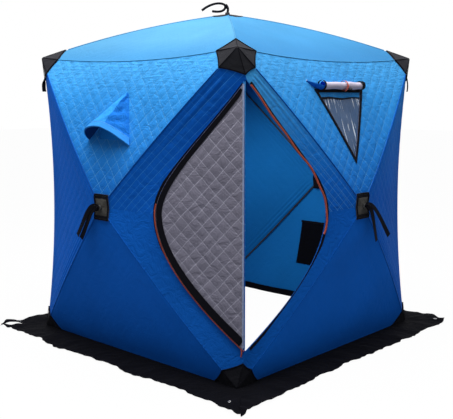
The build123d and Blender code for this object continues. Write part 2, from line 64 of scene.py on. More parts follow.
# %% Sizes
lower_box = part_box("front_wall_lower")
upper_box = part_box("front_wall_upper")
roof_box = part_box("roof_front")
base_half = lower_box[1][0]
hub_out = -lower_box[0][1] - base_half
hub_height = lower_box[1][2]
base_height = lower_box[0][2]
top_half = upper_box[1][0]
corner_height = upper_box[1][2]
apex_height = roof_box[1][2]
fabric = 0.008
pole_bow = 0.025
roof_bow = 0.033
corner_draw = 0.042
eave_draw = 0.038
eave_sag = 0.040
WALLS = ("front", "right", "back", "left")
print(f"base {2 * base_half:.3f} m, hub {hub_out:.3f} m out, apex {apex_height:.3f} m")

# %% [markdown]
# ## Camera
# A long lens from a little above eye height, aimed down at the door corner, keeps
# the upright corners nearly parallel. The picture is framed by a small lens shift.

# %% Camera
camera_azimuth = math.radians(42.61)
camera_distance = 5.248
camera_height = 1.564
camera_pitch = math.radians(12.28)
camera_data = bpy.data.cameras.new("camera")
camera_data.lens = 61.46
camera_data.sensor_width = 36.0
camera_data.shift_x = -0.0021
camera_data.shift_y = 0.1217
camera = bpy.data.objects.new("camera", camera_data)
camera.location = (
    camera_distance * math.sin(camera_azimuth),
    -camera_distance * math.cos(camera_azimuth),
    camera_height,
)
camera.rotation_euler = (math.pi / 2 - camera_pitch, 0, camera_azimuth)
bpy.context.scene.collection.objects.link(camera)
bpy.context.scene.camera = camera
bpy.context.scene.view_settings.view_transform = "Standard"
print("camera at", tuple(round(value, 3) for value in camera.location))

# %% [markdown]
# ## Helpers for materials
# Every material below is a small network of nodes. These helpers make a node, feed its
# inputs with links or plain values, and name the few combinations that come up often.

# %% Helpers for shader nodes
def feed(tree, node, values):
    """Fill a node's inputs: a socket is linked, and anything else is set as it is."""
    for socket, value in values.items():
        if isinstance(value, bpy.types.NodeSocket):
            tree.links.new(value, node.inputs[socket])
        else:
            node.inputs[socket].default_value = value


def add_node(tree, kind, values=None, **settings):
    node = tree.nodes.new("ShaderNode" + kind)
    for name, value in settings.items():
        setattr(node, name, value)
    feed(tree, node, values or {})
    return node


def math_node(tree, operation, *operands):
    """The output of a Math node fed by sockets or plain numbers."""
    return add_node(tree, "Math", dict(enumerate(operands)), operation=operation).outputs[0]


def mixed(tree, share, first, second, blend="MIX"):
    """The colour between two colours."""
    values = {0: share, 6: first, 7: second}
    return add_node(tree, "Mix", values, data_type="RGBA", blend_type=blend).outputs[2]


def bump(tree, strength, distance, height, normal=None):
    values = {"Strength": strength, "Distance": distance, "Height": height}
    if normal is not None:
        values["Normal"] = normal
    return add_node(tree, "Bump", values).outputs[0]


def parts(tree, vector):
    """The three numbers of a vector socket."""
    return list(add_node(tree, "SeparateXYZ", {0: vector}).outputs)


def smooth_mask(tree, value, low, high):
    """1 below low, 0 above high, with a soft step between."""
    values = {0: value, 1: low, 2: high, 3: 1.0, 4: 0.0}
    return add_node(tree, "MapRange", values, interpolation_type="SMOOTHSTEP").outputs[0]


def opaque(colour):
    return tuple(colour) + (1.0,)


def new_material(name):
    material = bpy.data.materials.new(name)
    material.use_nodes = True
    return material, material.node_tree, material.node_tree.nodes["Principled BSDF"]


def seen_rays(tree):
    """Masks of the camera's own rays, and of these with mirrored and refracted ones."""
    path = add_node(tree, "LightPath").outputs
    mirrored = math_node(tree, "MAXIMUM", path["Is Glossy Ray"], path["Is Transmission Ray"])
    return path["Is Camera Ray"], math_node(tree, "MAXIMUM", path["Is Camera Ray"], mirrored)


# %% [markdown]
# ## Floor, backdrop and light
# The shelter stands on a white floor under one very large soft lamp, so its tops are
# bright and its lower cloth falls into shade. The floor is a mid grey to the light,
# which keeps its bounce down, and shows near white to the eye, with a soft shadow.

# %% Stage
def stage_material(name, seen_white):
    """Grey to the light and, by seen_white, white to the camera and to reflections."""
    material, tree, _ = new_material(name)
    tree.nodes.clear()
    camera_ray, seen = seen_rays(tree)
    tint = mixed(tree, camera_ray, (0.30, 0.30, 0.31, 1.0), (0.90, 0.90, 0.90, 1.0))
    matt = add_node(tree, "BsdfDiffuse", {"Color": tint})
    white = add_node(tree, "Emission")
    share = math_node(tree, "MULTIPLY", seen, seen_white)
    mix = add_node(tree, "MixShader", {0: share, 1: matt.outputs[0], 2: white.outputs[0]})
    add_node(tree, "OutputMaterial", {"Surface": mix.outputs[0]})
    return material


bpy.ops.object.select_all(action="DESELECT")
bpy.ops.mesh.primitive_plane_add(size=60, location=(0, 0, -0.001))
floor = bpy.context.object
floor.name = "floor"
floor.data.materials.append(stage_material("floor_white", 0.975))


def soft_lamp(name, size, power, place, aim):
    """A square area lamp at a place, turned to shine at a point."""
    data = bpy.data.lights.new(name, "AREA")
    data.shape = "SQUARE"
    data.size = size
    data.energy = power
    lamp = bpy.data.objects.new(name, data)
    lamp.location = place
    lamp.rotation_euler = (Vector(aim) - Vector(place)).to_track_quat("-Z", "Y").to_euler()
    bpy.context.scene.collection.objects.link(lamp)


soft_lamp("overhead_lamp", 5.0, 350.0, (0.4, -0.9, 5.0), (0.0, 0.0, 0.8))
soft_lamp("inside_lamp", 0.9, 14.0, (0.0, 0.0, 1.45), (0.0, 0.3, 0.0))

# %% World
world = bpy.data.worlds.new("studio")
bpy.context.scene.world = world
world.use_nodes = True
sky = world.node_tree
sky.nodes.clear()
sky_fill = add_node(sky, "Background", {"Color": (0.80, 0.88, 1.0, 1.0), "Strength": 0.28})
sky_seen = add_node(sky, "Background", {"Color": (1.0, 1.0, 1.0, 1.0), "Strength": 1.0})
sky_mix = add_node(sky, "MixShader", {
    0: seen_rays(sky)[1], 1: sky_fill.outputs[0], 2: sky_seen.outputs[0]})
add_node(sky, "OutputWorld", {"Surface": sky_mix.outputs[0]})
print("lamps:", [lamp.name for lamp in bpy.data.lights])

# %% [markdown]
# ## Node groups
# Cloth effects that several materials share are built once, as node groups that put
# out masks and heights. The quilting is two families of stitch lines at 45 degrees,
# found from the cloth's own flat coordinates, so they follow the panel when it bends.

# %% Quilt group
quilt_step = 0.086           # between crossings, up the wall
stitch_length = 0.006
folded_scale = 9.0           # folds to the metre in cloth that was packed away


def new_group(name, place, dial, *results):
    """A node group: a place and one number go in, and numbers come out."""
    tree = bpy.data.node_groups.new(name, "ShaderNodeTree")
    tree.interface.new_socket(place, in_out="INPUT", socket_type="NodeSocketVector")
    number = tree.interface.new_socket(dial[0], in_out="INPUT", socket_type="NodeSocketFloat")
    number.default_value = dial[1]
    for result in results:
        tree.interface.new_socket(result, in_out="OUTPUT", socket_type="NodeSocketFloat")
    source = tree.nodes.new("NodeGroupInput").outputs
    return tree, source[place], source[dial[0]], tree.nodes.new("NodeGroupOutput")


def build_quilt_group():
    """Dashed stitch lines, widened to carry a painted highlight, the grooves they lie in, as a mask for painted
    shade, and the pillows between them.
    """
    tree, flat, step, sink = new_group(
        "quilting", "Flat", ("Step", quilt_step), "Groove Shade", "Thread", "Puff")
    wander = add_node(tree, "TexNoise", {"Vector": flat, "Scale": 9.0, "Detail": 2.0})
    moved = add_node(tree, "VectorMath", {
        0: wander.outputs["Color"], 1: (0.014, 0.014, 0.0), 2: flat}, operation="MULTIPLY_ADD")
    x, y, _ = parts(tree, moved.outputs[0])
    along, across = math_node(tree, "ADD", x, y), math_node(tree, "SUBTRACT", x, y)
    lines, dashes = [], []
    for value, other in ((along, across), (across, along)):
        near = math_node(tree, "PINGPONG", math_node(tree, "DIVIDE", value, step), 0.5)
        lines.append(near)
        turns = math_node(tree, "MULTIPLY", other, 2 * math.pi / stitch_length)
        dash = math_node(tree, "GREATER_THAN", math_node(tree, "SINE", turns), -0.3)
        # the dashed lines are made wider than the thread itself, to carry a painted highlight
        dashes.append(math_node(tree, "MULTIPLY", smooth_mask(tree, near, 0.014, 0.034), dash))
    puff = math_node(tree, "MULTIPLY", math_node(tree, "MULTIPLY", *lines), 4.0)
    feed(tree, sink, {
        "Groove Shade": smooth_mask(tree, math_node(tree, "MINIMUM", *lines), 0.0, 0.09),
        "Thread": math_node(tree, "MAXIMUM", *dashes),
        "Puff": math_node(tree, "POWER", puff, 0.4),
    })
    return tree


quilt_group = build_quilt_group()

# %% Weave group
def build_weave_group():
    """Plain weave: threads that pass over and under each other."""
    tree, flat, thread, sink = new_group("plain weave", "Flat", ("Thread", 0.0011), "Height")
    waves = []
    for way in parts(tree, flat)[:2]:
        turns = math_node(tree, "DIVIDE", way, thread)
        waves.append(math_node(tree, "SINE", math_node(tree, "MULTIPLY", turns, math.pi)))
    height = math_node(tree, "MULTIPLY", *waves)
    feed(tree, sink, {"Height": math_node(tree, "MULTIPLY_ADD", height, 0.5, 0.5)})
    return tree


weave_group = build_weave_group()

# %% Crease group
def build_crease_group():
    """Fine folds and a cloudy tone, as on cloth that has been packed away."""
    tree, place, scale, sink = new_group(
        "packed creases", "Place", ("Scale", folded_scale), "Height", "Tone")
    fold = add_node(tree, "TexNoise", {
        "Vector": place, "Scale": scale, "Detail": 4.0, "Roughness": 0.62, "Distortion": 0.8})
    cloud = add_node(tree, "TexNoise", {"Vector": place, "Scale": 2.3, "Detail": 2.0})
    ridge = math_node(tree, "ABSOLUTE", math_node(tree, "SUBTRACT", fold.outputs[0], 0.5))
    height = math_node(tree, "SUBTRACT", 1.0, math_node(tree, "MULTIPLY", ridge, 3.0))
    feed(tree, sink, {"Height": height, "Tone": cloud.outputs[0]})
    return tree


crease_group = build_crease_group()
print("node groups:", [group.name for group in bpy.data.node_groups])

# %% [markdown]
# ## Cloth materials
# Each cloth is the same recipe with other values: a coated polyester shell, with painted
# shade in the stitch grooves and a pale thread line widened into a painted highlight, over a
# bump that adds up creases, quilting and weave. Where the tone changes with height, a ramp
# of colours paints in light and shade: paler high up, where the overhead lamp falls most.

# %% Cloth recipe
def painted_light_ramp(tree, place, painted_light_tones):
    """Colour by height that paints in light and shade: the tones are pairs of a level in metres and a colour."""
    low, high = painted_light_tones[0][0], painted_light_tones[-1][0]
    level = add_node(tree, "MapRange", {0: parts(tree, place)[2], 1: low, 2: high})
    ramp = add_node(tree, "ValToRGB", {0: level.outputs[0]})
    ramp.color_ramp.elements[0].color = opaque(painted_light_tones[0][1])
    ramp.color_ramp.elements[1].color = opaque(painted_light_tones[-1][1])
    for height, tone in painted_light_tones[1:-1]:
        ramp.color_ramp.elements.new((height - low) / (high - low)).color = opaque(tone)
    return ramp.outputs[0]


def stitch_rows(tree, flat, slope):
    """Parallel rows of stitches along one diagonal of the flat coordinates."""
    x, y, _ = parts(tree, flat)
    diagonal = math_node(tree, "MULTIPLY_ADD", y, float(slope), x)
    near = math_node(tree, "PINGPONG", math_node(tree, "DIVIDE", diagonal, quilt_step / 2), 0.5)
    return math_node(tree, "MULTIPLY", smooth_mask(tree, near, 0.02, 0.06), 0.45)


def gathers(tree, flat):
    """Ripples where the cloth is gathered into the eave's seam."""
    squeezed = add_node(tree, "Mapping", {"Vector": flat, "Scale": (9.0, 70.0, 1.0)})
    ripple = add_node(tree, "TexNoise", {
        "Vector": squeezed.outputs[0], "Scale": 1.0, "Detail": 2.0, "Distortion": 0.5})
    near_top = math_node(tree, "SUBTRACT", 1.0, smooth_mask(tree, parts(tree, flat)[1], 1.40, 1.75))
    return math_node(tree, "MULTIPLY", ripple.outputs[0], near_top)


def cloth_material(name, colour, thread_and_highlight_colour, quilted=1.0, roughness=0.65, crease=0.3, gloss=0.03,
                   fuzz=0.0, gather=0.0, painted_light_tones=None, rows=0, crease_scale=folded_scale):
    """A cloth; quilted, crease, fuzz and gather say how strong each effect is."""
    material, tree, shader = new_material(name)
    where = add_node(tree, "TexCoord").outputs
    flat, place = where["UV"], where["Object"]
    quilt = add_node(tree, "Group", node_tree=quilt_group)
    feed(tree, quilt, {"Flat": flat})
    weave = add_node(tree, "Group", node_tree=weave_group)
    feed(tree, weave, {"Flat": flat})
    packed = add_node(tree, "Group", node_tree=crease_group)
    feed(tree, packed, {"Place": place, "Scale": crease_scale})

    # where tones are given, the colour is painted light and shade by height
    ground = painted_light_ramp(tree, place, painted_light_tones) if painted_light_tones else opaque(colour)
    shade = math_node(tree, "MULTIPLY_ADD", packed.outputs["Tone"], 0.34, 0.83)
    top = mixed(tree, 1.0, ground, shade, "MULTIPLY")
    # painted shade: the colour is darkened in the stitch grooves, where shade falls
    groove_shade = math_node(tree, "MULTIPLY", quilt.outputs["Groove Shade"], 0.55 * quilted)
    top = mixed(tree, groove_shade, top, (0.66, 0.68, 0.74, 1.0), "MULTIPLY")
    # the pale thread line is partly stitching and partly a painted highlight on the ridge beside the seam
    thread = math_node(tree, "MULTIPLY", quilt.outputs["Thread"], 0.72 * quilted)
    top = mixed(tree, thread, top, opaque(thread_and_highlight_colour))
    if rows:
        top = mixed(tree, stitch_rows(tree, flat, rows), top, opaque(thread_and_highlight_colour))

    normal = bump(tree, crease, 0.006, packed.outputs["Height"])
    normal = bump(tree, 0.8 * quilted, 0.0022, quilt.outputs["Puff"], normal)
    normal = bump(tree, 0.35, 0.0004, weave.outputs["Height"], normal)
    if gather:
        normal = bump(tree, gather, 0.006, gathers(tree, flat), normal)
    if fuzz:
        nap = add_node(tree, "TexNoise", {"Vector": place, "Scale": 140.0, "Detail": 4.0})
        normal = bump(tree, fuzz, 0.002, nap.outputs[0], normal)
    feed(tree, shader, {
        "Base Color": top, "Normal": normal, "Sheen Weight": 0.01, "Specular IOR Level": gloss,
        "Roughness": math_node(tree, "MULTIPLY_ADD", weave.outputs["Height"], 0.08, roughness),
    })
    return material


# the roof's tones are a painted highlight: palest across the middle of the slope, darker at the eave and near the
# apex
roof_cloth = cloth_material("roof_cloth", (0.088, 0.295, 0.50), (0.10, 0.32, 0.56), quilted=0.10, crease=0.3,
                            painted_light_tones=[(1.79, (0.052, 0.235, 0.47)), (1.90, (0.088, 0.295, 0.50)),
                                   (2.02, (0.088, 0.295, 0.50)), (2.13, (0.066, 0.262, 0.47))])
# the roof panel over the right wall is a darker copy of the roof cloth: painted shade
roof_shaded = cloth_material("roof_cloth_shaded", (0.052, 0.240, 0.47), (0.08, 0.30, 0.55), quilted=0.10, crease=0.3,
                           painted_light_tones=[(1.79, (0.040, 0.205, 0.44)), (1.92, (0.054, 0.242, 0.47)),
                                  (2.13, (0.070, 0.270, 0.48))])
# the upper wall's tones are painted light: paler towards the eave, where the overhead lamp falls most, darker down by
# the hub
upper_painted_light = [(0.93, (0.008, 0.150, 0.60)), (1.25, (0.022, 0.245, 0.74)), (1.55, (0.036, 0.315, 0.79)),
               (1.80, (0.085, 0.440, 0.90))]
quilted_cloth = cloth_material("quilted_cloth", (0.030, 0.29, 0.76), (0.17, 0.57, 0.98), quilted=1.0,
                               crease=0.8, gather=0.7, painted_light_tones=upper_painted_light, crease_scale=15.0)
side_cloth = cloth_material("side_cloth", (0.005, 0.138, 0.66), (0.03, 0.26, 0.80), quilted=0.6, crease=0.4)
front_strip = cloth_material("front_strip_cloth", (0.005, 0.130, 0.62), (0.05, 0.34, 0.88), quilted=0.6,
                             crease=0.6, rows=-1)
# The right wall's cloths are paler copies of the front wall's, paler still high up: painted light, as if a lamp lit
# that wall from the side.
right_strip_lit = cloth_material("right_strip_lit_cloth", (0.02, 0.2, 0.7), (0.16, 0.52, 0.94), quilted=0.6, crease=0.9,
                             rows=1, painted_light_tones=[(0.93, (0.005, 0.124, 0.58)), (1.10, (0.010, 0.19, 0.80)),
                                            (1.30, (0.022, 0.28, 0.90)), (1.70, (0.075, 0.48, 1.0))])
right_side_lit = cloth_material("right_side_lit_cloth", (0.01, 0.15, 0.6), (0.10, 0.42, 0.92), quilted=0.7, crease=0.6,
                            painted_light_tones=[(0.95, (0.004, 0.125, 0.60)), (1.35, (0.010, 0.180, 0.68)),
                                   (1.75, (0.030, 0.29, 0.82))])
# the lower strips are a darker copy of the cloth, darker still towards the ground: painted shade
shaded_strip_cloth = cloth_material("shaded_strip_cloth", (0.004, 0.092, 0.41), (0.02, 0.19, 0.68), quilted=0.16, crease=0.8,
                             crease_scale=14.0, painted_light_tones=[(0.50, (0.004, 0.092, 0.41)), (0.93, (0.005, 0.122, 0.56))])
# the right wall's lower panel is a paler copy of the plain lower cloth: painted light
right_lower_lit = cloth_material("right_lower_cloth", (0.006, 0.160, 0.71), (0.02, 0.19, 0.68), quilted=0.16, crease=0.3)
plain_cloth = cloth_material("plain_cloth", (0.005, 0.130, 0.60), (0.02, 0.19, 0.68), quilted=0.16, crease=0.3)
lining_cloth = cloth_material("lining_cloth", (0.008, 0.155, 0.44), (0.02, 0.20, 0.50), quilted=0.15, roughness=0.7)
grey_lining = cloth_material("grey_lining", (0.245, 0.232, 0.290), (0.85, 0.82, 0.95), quilted=1.0,
                             roughness=0.8, crease=1.0, fuzz=0.5, crease_scale=13.0)
roll_lining = cloth_material("roll_lining", (0.66, 0.60, 0.72), (0.8, 0.75, 0.85), quilted=0.0,
                             roughness=0.7, crease=0.5, fuzz=0.3)
skirt_cloth = cloth_material("skirt_cloth", (0.0036, 0.0036, 0.0055), (0.02, 0.02, 0.025), quilted=0.0,
                             roughness=0.75, crease=1.0, gloss=0.02, crease_scale=6.0)
black_webbing = cloth_material("black_webbing", (0.006, 0.006, 0.009), (0.03, 0.03, 0.03), quilted=0.0,
                               roughness=0.7, crease=0.1)
cover_cloth = cloth_material("cover_cloth", (0.031, 0.031, 0.036), (0.30, 0.28, 0.27), quilted=0.0,
                             roughness=0.7, crease=0.8, fuzz=0.3)
foot_cloth = cloth_material("foot_cloth", (0.011, 0.011, 0.014), (0.1, 0.1, 0.1), quilted=0.0, crease=0.9, fuzz=0.2)
patch_cloth = cloth_material("patch_cloth", (0.085, 0.080, 0.072), (0.30, 0.28, 0.27), quilted=0.0,
                             roughness=0.8, crease=0.8, fuzz=1.0, crease_scale=30.0)
print("cloths:", [material.name for material in bpy.data.materials][-10:])

# %% [markdown]
# ## Cloth as curved patches
# Between bent poles a cloth hangs as a smooth saddle. Each panel is a patch whose four
# edges are gentle curves, one of which may shrink to a point at the hub. A grid
# primitive is laid on the patch point by point, because no edit-mode operator bends a
# sheet to four given curves. Neighbours share their edge curves, so seams meet.

# %% Curves and patches
def vec(*values):
    return np.array(values, dtype=float)


def bowed(start, end, bow):
    """Control points of an edge whose middle is moved by bow."""
    return [start, (start + end) / 2 + 2 * bow, end]


def blend_weights(count, share):
    """Weight of each control point at each share of the way."""
    share = np.asarray(share, dtype=float)[:, None]
    index = np.arange(count)
    choices = np.array([math.comb(count - 1, k) for k in index])
    return choices * share ** index * (1 - share) ** (count - 1 - index)


def unit(ways):
    """Directions, one to a row, each scaled to a length of one."""
    return ways / np.linalg.norm(ways, axis=1)[:, None]


def run_along(line):
    """Distance from a line's start to each of its points."""
    return np.concatenate([[0], np.cumsum(np.linalg.norm(np.diff(line, axis=0), axis=1))])


def curve_points(control, share):
    return blend_weights(len(control), share) @ np.array(control)


def patch_points(net, u, v):
    """Points of a control net: u runs along a row, v from the first row to the last."""
    rows = blend_weights(len(net), v)
    columns = blend_weights(len(net[0]), u)
    return np.einsum("pr,rcx,pc->px", rows, np.array(net), columns)


def coons(first, last, left, right):
    """A control net whose middle follows from its four edges."""
    corners = first[0] + first[2] + last[0] + last[2]
    core = (left[1] + right[1]) / 2 + (first[1] + last[1]) / 2 - corners / 4
    return [first, [left[1], core, right[1]], last]


def turned(points, wall):
    """Points of the front wall carried round to wall 0, 1, 2 or 3."""
    x, y, z = np.moveaxis(np.asarray(points), -1, 0)
    quarter = ((x, y), (-y, x), (-x, -y), (y, -x))[wall % 4]
    return np.stack([quarter[0], quarter[1], z], axis=-1)


hub_place = vec(0, -(base_half + hub_out), hub_height)
out = vec(0, -1, 0)


def top_corner(side):
    return vec(side * top_half, -top_half, corner_height)


def base_corner(side):
    return vec(side * base_half, -base_half, base_height)


def pole_line(side, level):
    end = top_corner(side) if level == "top" else base_corner(side)
    return bowed(hub_place, end, out * pole_bow)


def corner_line(side):
    return bowed(top_corner(side), base_corner(side), vec(-side, 1, 0) * corner_draw)


eave_line = bowed(top_corner(-1), top_corner(1), vec(0, eave_draw, -eave_sag))
apex = vec(0, 0, apex_height)


def roof_line(side):
    return bowed(apex, top_corner(side), vec(0, 0, roof_bow))


def wall_net(name):
    hub = [hub_place] * 3
    if name == "upper":
        return coons(hub, eave_line, pole_line(-1, "top"), pole_line(1, "top"))
    if name == "lower":
        ground = [base_corner(-1), (base_corner(-1) + base_corner(1)) / 2, base_corner(1)]
        return coons(hub, ground, pole_line(-1, "base"), pole_line(1, "base"))
    side = -1 if name == "left" else 1
    return coons(hub, corner_line(side), pole_line(side, "top"), pole_line(side, "base"))


roof_net = coons([apex] * 3, eave_line, roof_line(-1), roof_line(1))
print("eave middle at", curve_points(eave_line, [0.5])[0].round(3))

# %% [markdown]
# ## From a grid to a sewn, padded panel
# A panel is cut from a flat grid, laid on its patch, swelled by its padding and folds,
# and given its thickness inwards. Its flat coordinates, in metres along and up the
# wall, are kept as its UV map, so that the stitch lines run on from panel to panel.

# %% Sheet helpers
def only(piece):
    """Select one object and make it active."""
    if bpy.context.object and bpy.context.object.mode != "OBJECT":
        bpy.ops.object.mode_set(mode="OBJECT")
    bpy.ops.object.select_all(action="DESELECT")
    piece.select_set(True)
    bpy.context.view_layer.objects.active = piece


def edit_mesh(piece, *steps):
    """Select all of an object's mesh, take some steps in edit mode and come back."""
    only(piece)
    bpy.ops.object.mode_set(mode="EDIT")
    bpy.ops.mesh.select_all(action="SELECT")
    for step in steps:
        step()
    bpy.ops.object.mode_set(mode="OBJECT")


def get_points(piece, kind="co"):
    """The places of an object's vertices, or by kind their normals."""
    place = np.empty(len(piece.data.vertices) * 3)
    piece.data.vertices.foreach_get(kind, place)
    return place.reshape(-1, 3)


def get_normals(piece):
    return get_points(piece, "normal")


def set_points(piece, points):
    piece.data.vertices.foreach_set("co", np.asarray(points, dtype=float).ravel())
    piece.data.update()


def rename(piece, name):
    piece.name = name
    piece.data.name = name
    return piece


def flat_grid(name, columns, rows):
    """A grid primitive with its vertices' shares of the way across and up."""
    bpy.ops.object.select_all(action="DESELECT")
    bpy.ops.mesh.primitive_grid_add(x_subdivisions=columns, y_subdivisions=rows, size=2)
    piece = rename(bpy.context.object, name)
    place = get_points(piece)
    return piece, (place[:, 0] + 1) / 2, (place[:, 1] + 1) / 2


def set_flat(piece, flat):
    """Write flat coordinates, one pair for each vertex, as the UV map."""
    layer = piece.data.uv_layers.active or piece.data.uv_layers.new(name="UVMap")
    corner_vertex = np.empty(len(piece.data.loops), dtype=int)
    piece.data.loops.foreach_get("vertex_index", corner_vertex)
    layer.data.foreach_set("uv", np.asarray(flat, dtype=float)[corner_vertex].ravel())


def face_outwards(piece, direction):
    """Turn the sheet's faces so that they look along a direction."""
    if float(np.dot(get_normals(piece).mean(axis=0), direction)) < 0:
        edit_mesh(piece, bpy.ops.mesh.flip_normals)


def merge_doubles(piece, distance=0.00005):
    edit_mesh(piece, lambda: bpy.ops.mesh.remove_doubles(threshold=distance))


def apply_modifier(piece, name, kind, **settings):
    only(piece)
    modifier = piece.modifiers.new(name, kind)
    for key, value in settings.items():
        setattr(modifier, key, value)
    bpy.ops.object.modifier_apply(modifier=modifier.name)


def thicken(piece, thickness, inner_slot=0, rim_slot=0, offset=-1.0):
    apply_modifier(piece, "Thickness", "SOLIDIFY", thickness=thickness, offset=offset,
                   use_even_offset=False, material_offset=inner_slot, material_offset_rim=rim_slot)


def smooth(piece, angle=50):
    only(piece)
    bpy.ops.object.shade_smooth_by_angle(angle=math.radians(angle))


def wear(piece, *materials):
    piece.data.materials.clear()
    for material in materials:
        piece.data.materials.append(material)


def finish_sheet(piece, material, thickness, facing=None, wall=0, offset=-1.0, angle=45):
    """Face a sheet, give it its cloth and thickness, and carry it round to its wall."""
    if facing is not None:
        face_outwards(piece, facing)
    wear(piece, material)
    thicken(piece, thickness, offset=offset)
    set_points(piece, turned(get_points(piece), wall))
    smooth(piece, angle)
    return piece


def padding(flat, height):
    """Height of the quilt's pillows at flat coordinates."""
    along = np.abs(np.sin(np.pi * (flat[:, 0] + flat[:, 1]) / quilt_step))
    across = np.abs(np.sin(np.pi * (flat[:, 0] - flat[:, 1]) / quilt_step))
    return height * (along * across) ** 0.6


def cloud_heights(points, scale, height, seed=0.0):
    """Slow, random rise and fall, the same on every run."""
    shift = Vector((seed, -seed, 2 * seed))
    return np.array([noise.noise(Vector(point) * scale + shift) for point in points]) * height


def noise_at(*place):
    """Noise from -1 to 1 at places given by their x, y and z."""
    return np.array([noise.noise(Vector(point)) for point in zip(*np.broadcast_arrays(*place))])


def soft_step(value, low, high):
    """0 below low, 1 above high, with a soft step between."""
    share = np.clip((value - low) / (high - low), 0, 1)
    return share * share * (3 - 2 * share)


# %% Panel maker
covered_places = [
    (top_corner(-1), 0.150), (top_corner(1), 0.150), (base_corner(-1), 0.135), (base_corner(1), 0.135),
    (hub_place, 0.080), (apex, 0.085),
]


def outline_gap(points, outline):
    """How far places along and up the wall lie outside a convex outline (0 inside)."""
    place = points[:, (0, 2)]
    gap = np.full(len(place), 1e9)
    inside = np.ones(len(place), dtype=bool)
    corners = [np.array(corner) for corner in outline]
    middle = np.mean(corners, axis=0)
    for first, last in zip(corners, corners[1:] + corners[:1]):
        way = last - first
        share = np.clip((place - first) @ way / (way @ way), 0, 1)
        gap = np.minimum(gap, np.linalg.norm(place - first - share[:, None] * way, axis=1))
        facing = np.array([way[1], -way[0]])
        facing = facing * np.sign((middle - first) @ facing)
        inside &= (place - first) @ facing > 0
    return np.where(inside, 0.0, gap)


def cut_opening(sheet, outline):
    """Cut a convex opening through a front-wall sheet, by a bisection along each side."""
    only(sheet)
    corners = list(outline)
    bpy.ops.object.mode_set(mode="EDIT")
    bpy.ops.mesh.select_mode(type="FACE")
    for (ax, az), (bx, bz) in zip(corners, corners[1:] + corners[:1]):
        bpy.ops.mesh.select_all(action="SELECT")
        bpy.ops.mesh.bisect(plane_co=(ax, 0, az), plane_no=(bz - az, 0, ax - bx))
    bpy.ops.mesh.select_all(action="DESELECT")
    bpy.ops.object.mode_set(mode="OBJECT")
    centres = np.array([face.center for face in sheet.data.polygons])
    sheet.data.polygons.foreach_set("select", outline_gap(centres, corners) == 0.0)
    bpy.ops.object.mode_set(mode="EDIT")
    bpy.ops.mesh.delete(type="FACE")
    bpy.ops.mesh.select_mode(type="VERT")
    bpy.ops.object.mode_set(mode="OBJECT")


least_fill = 0.45      # a panel's area over that of the rectangle round it


def sewn_panel(name, net, wall, outer, relief, cell, folds, node, flat_axes=(0, 2),
               hem=0.0, calm=None, opening=None):
    """A cloth panel laid on a patch, padded by relief metres, with extra folds."""
    rows_long = np.linalg.norm(patch_points(net, [0.5], [1]) - patch_points(net, [0.5], [0]))
    steps, places = np.linspace(0, 1, 9), (0.0, 0.5, 1.0)
    widest = max(run_along(patch_points(net, steps, np.full(9, place)))[-1] for place in places)
    longest = max(run_along(patch_points(net, np.full(9, place), steps))[-1] for place in places)
    sheet, u, v = flat_grid(name, max(8, int(widest / cell)), max(8, int(rows_long / cell)))
    points = patch_points(net, u, v)
    set_points(sheet, points)
    flat = points[:, flat_axes]
    set_flat(sheet, flat)
    face_outwards(sheet, points.mean(axis=0) - vec(0, 0, 1.0 if flat_axes == (0, 2) else 1.8))
    across = patch_points(net, np.ones_like(v), v) - patch_points(net, np.zeros_like(v), v)
    width = np.linalg.norm(across, axis=1)
    side_gap = np.minimum(u, 1 - u) * width
    edge_gap = np.minimum(side_gap, (1 - v) * rows_long)
    cut_area = sum(face.area for face in sheet.data.polygons)
    held = soft_step(edge_gap, 0.0, 0.025)
    if hem:
        held = held * soft_step((1 - u) * width, hem, hem + 0.03)
    if calm is not None:
        held = held * soft_step(outline_gap(points, calm), 0.014, 0.05)
    for place, reach in covered_places:
        held = held * soft_step(np.linalg.norm(points - place, axis=1), reach, reach + 0.05)
    heights = padding(flat, relief) + folds(points, u, v, edge_gap)
    set_points(sheet, points + get_normals(sheet) * (heights * held)[:, None])
    if opening is not None:
        cut_opening(sheet, opening)
        cut_area = sum(face.area for face in sheet.data.polygons)
    merge_doubles(sheet)
    wear(sheet, outer, lining_cloth)
    thicken(sheet, fabric, inner_slot=1, rim_slot=0)
    set_points(sheet, turned(get_points(sheet), wall))
    smooth(sheet)
    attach(sheet, "shelter")
    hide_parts(node)
    widest = min(widest, cut_area / (least_fill * longest))


# %% [markdown]
# ## Folds in the cloth
# Cloth pulled between poles shows long folds that run along the pull. They are added as
# small waves across that direction, strongest near the corners where the cloth is
# gathered, and they fade towards the open middle of the panel.

# %% Fold shapes
def eave_folds(points, u, v, edge_gap):
    """Short folds that hang down from the eave, and slow waves in the middle."""
    strength = 1 - soft_step(1 - v, 0.0, 0.38)
    run = points[:, 0] * 52 + 2.2 * np.sin(points[:, 0] * 9)
    return 0.0016 * np.sin(run) * strength + cloud_heights(points, 3.1, 0.004, 1.7)


def tip_folds(points, u, v, edge_gap):
    """The eave's folds, with the ridge that the hood's tip pulls up above itself."""
    x, z = points[:, 0], points[:, 2]
    ridge = np.exp(-((x - 0.045 - 0.006 * np.sin(z * 40)) / 0.011) ** 2)
    ridge = ridge * soft_step(z, 1.54, 1.60) * (1 - soft_step(z, 1.66, 1.76))
    return eave_folds(points, u, v, edge_gap) + 0.010 * ridge


def pole_folds(points, u, v, edge_gap):
    """Long folds beside a pole, along it."""
    strength = np.exp(-((edge_gap - 0.05) / 0.10) ** 2)
    wander = cloud_heights(points, 2.0, 0.9, 5.1)
    return 0.0022 * np.sin(edge_gap * 150 + 2 * wander) * strength + cloud_heights(points, 2.4, 0.005, 3.3)


def slack_folds(points, u, v, edge_gap):
    """Slow waves and small dents, with no direction."""
    return cloud_heights(points, 2.6, 0.006, 8.2) + cloud_heights(points, 7.0, 0.0015, 2.9)


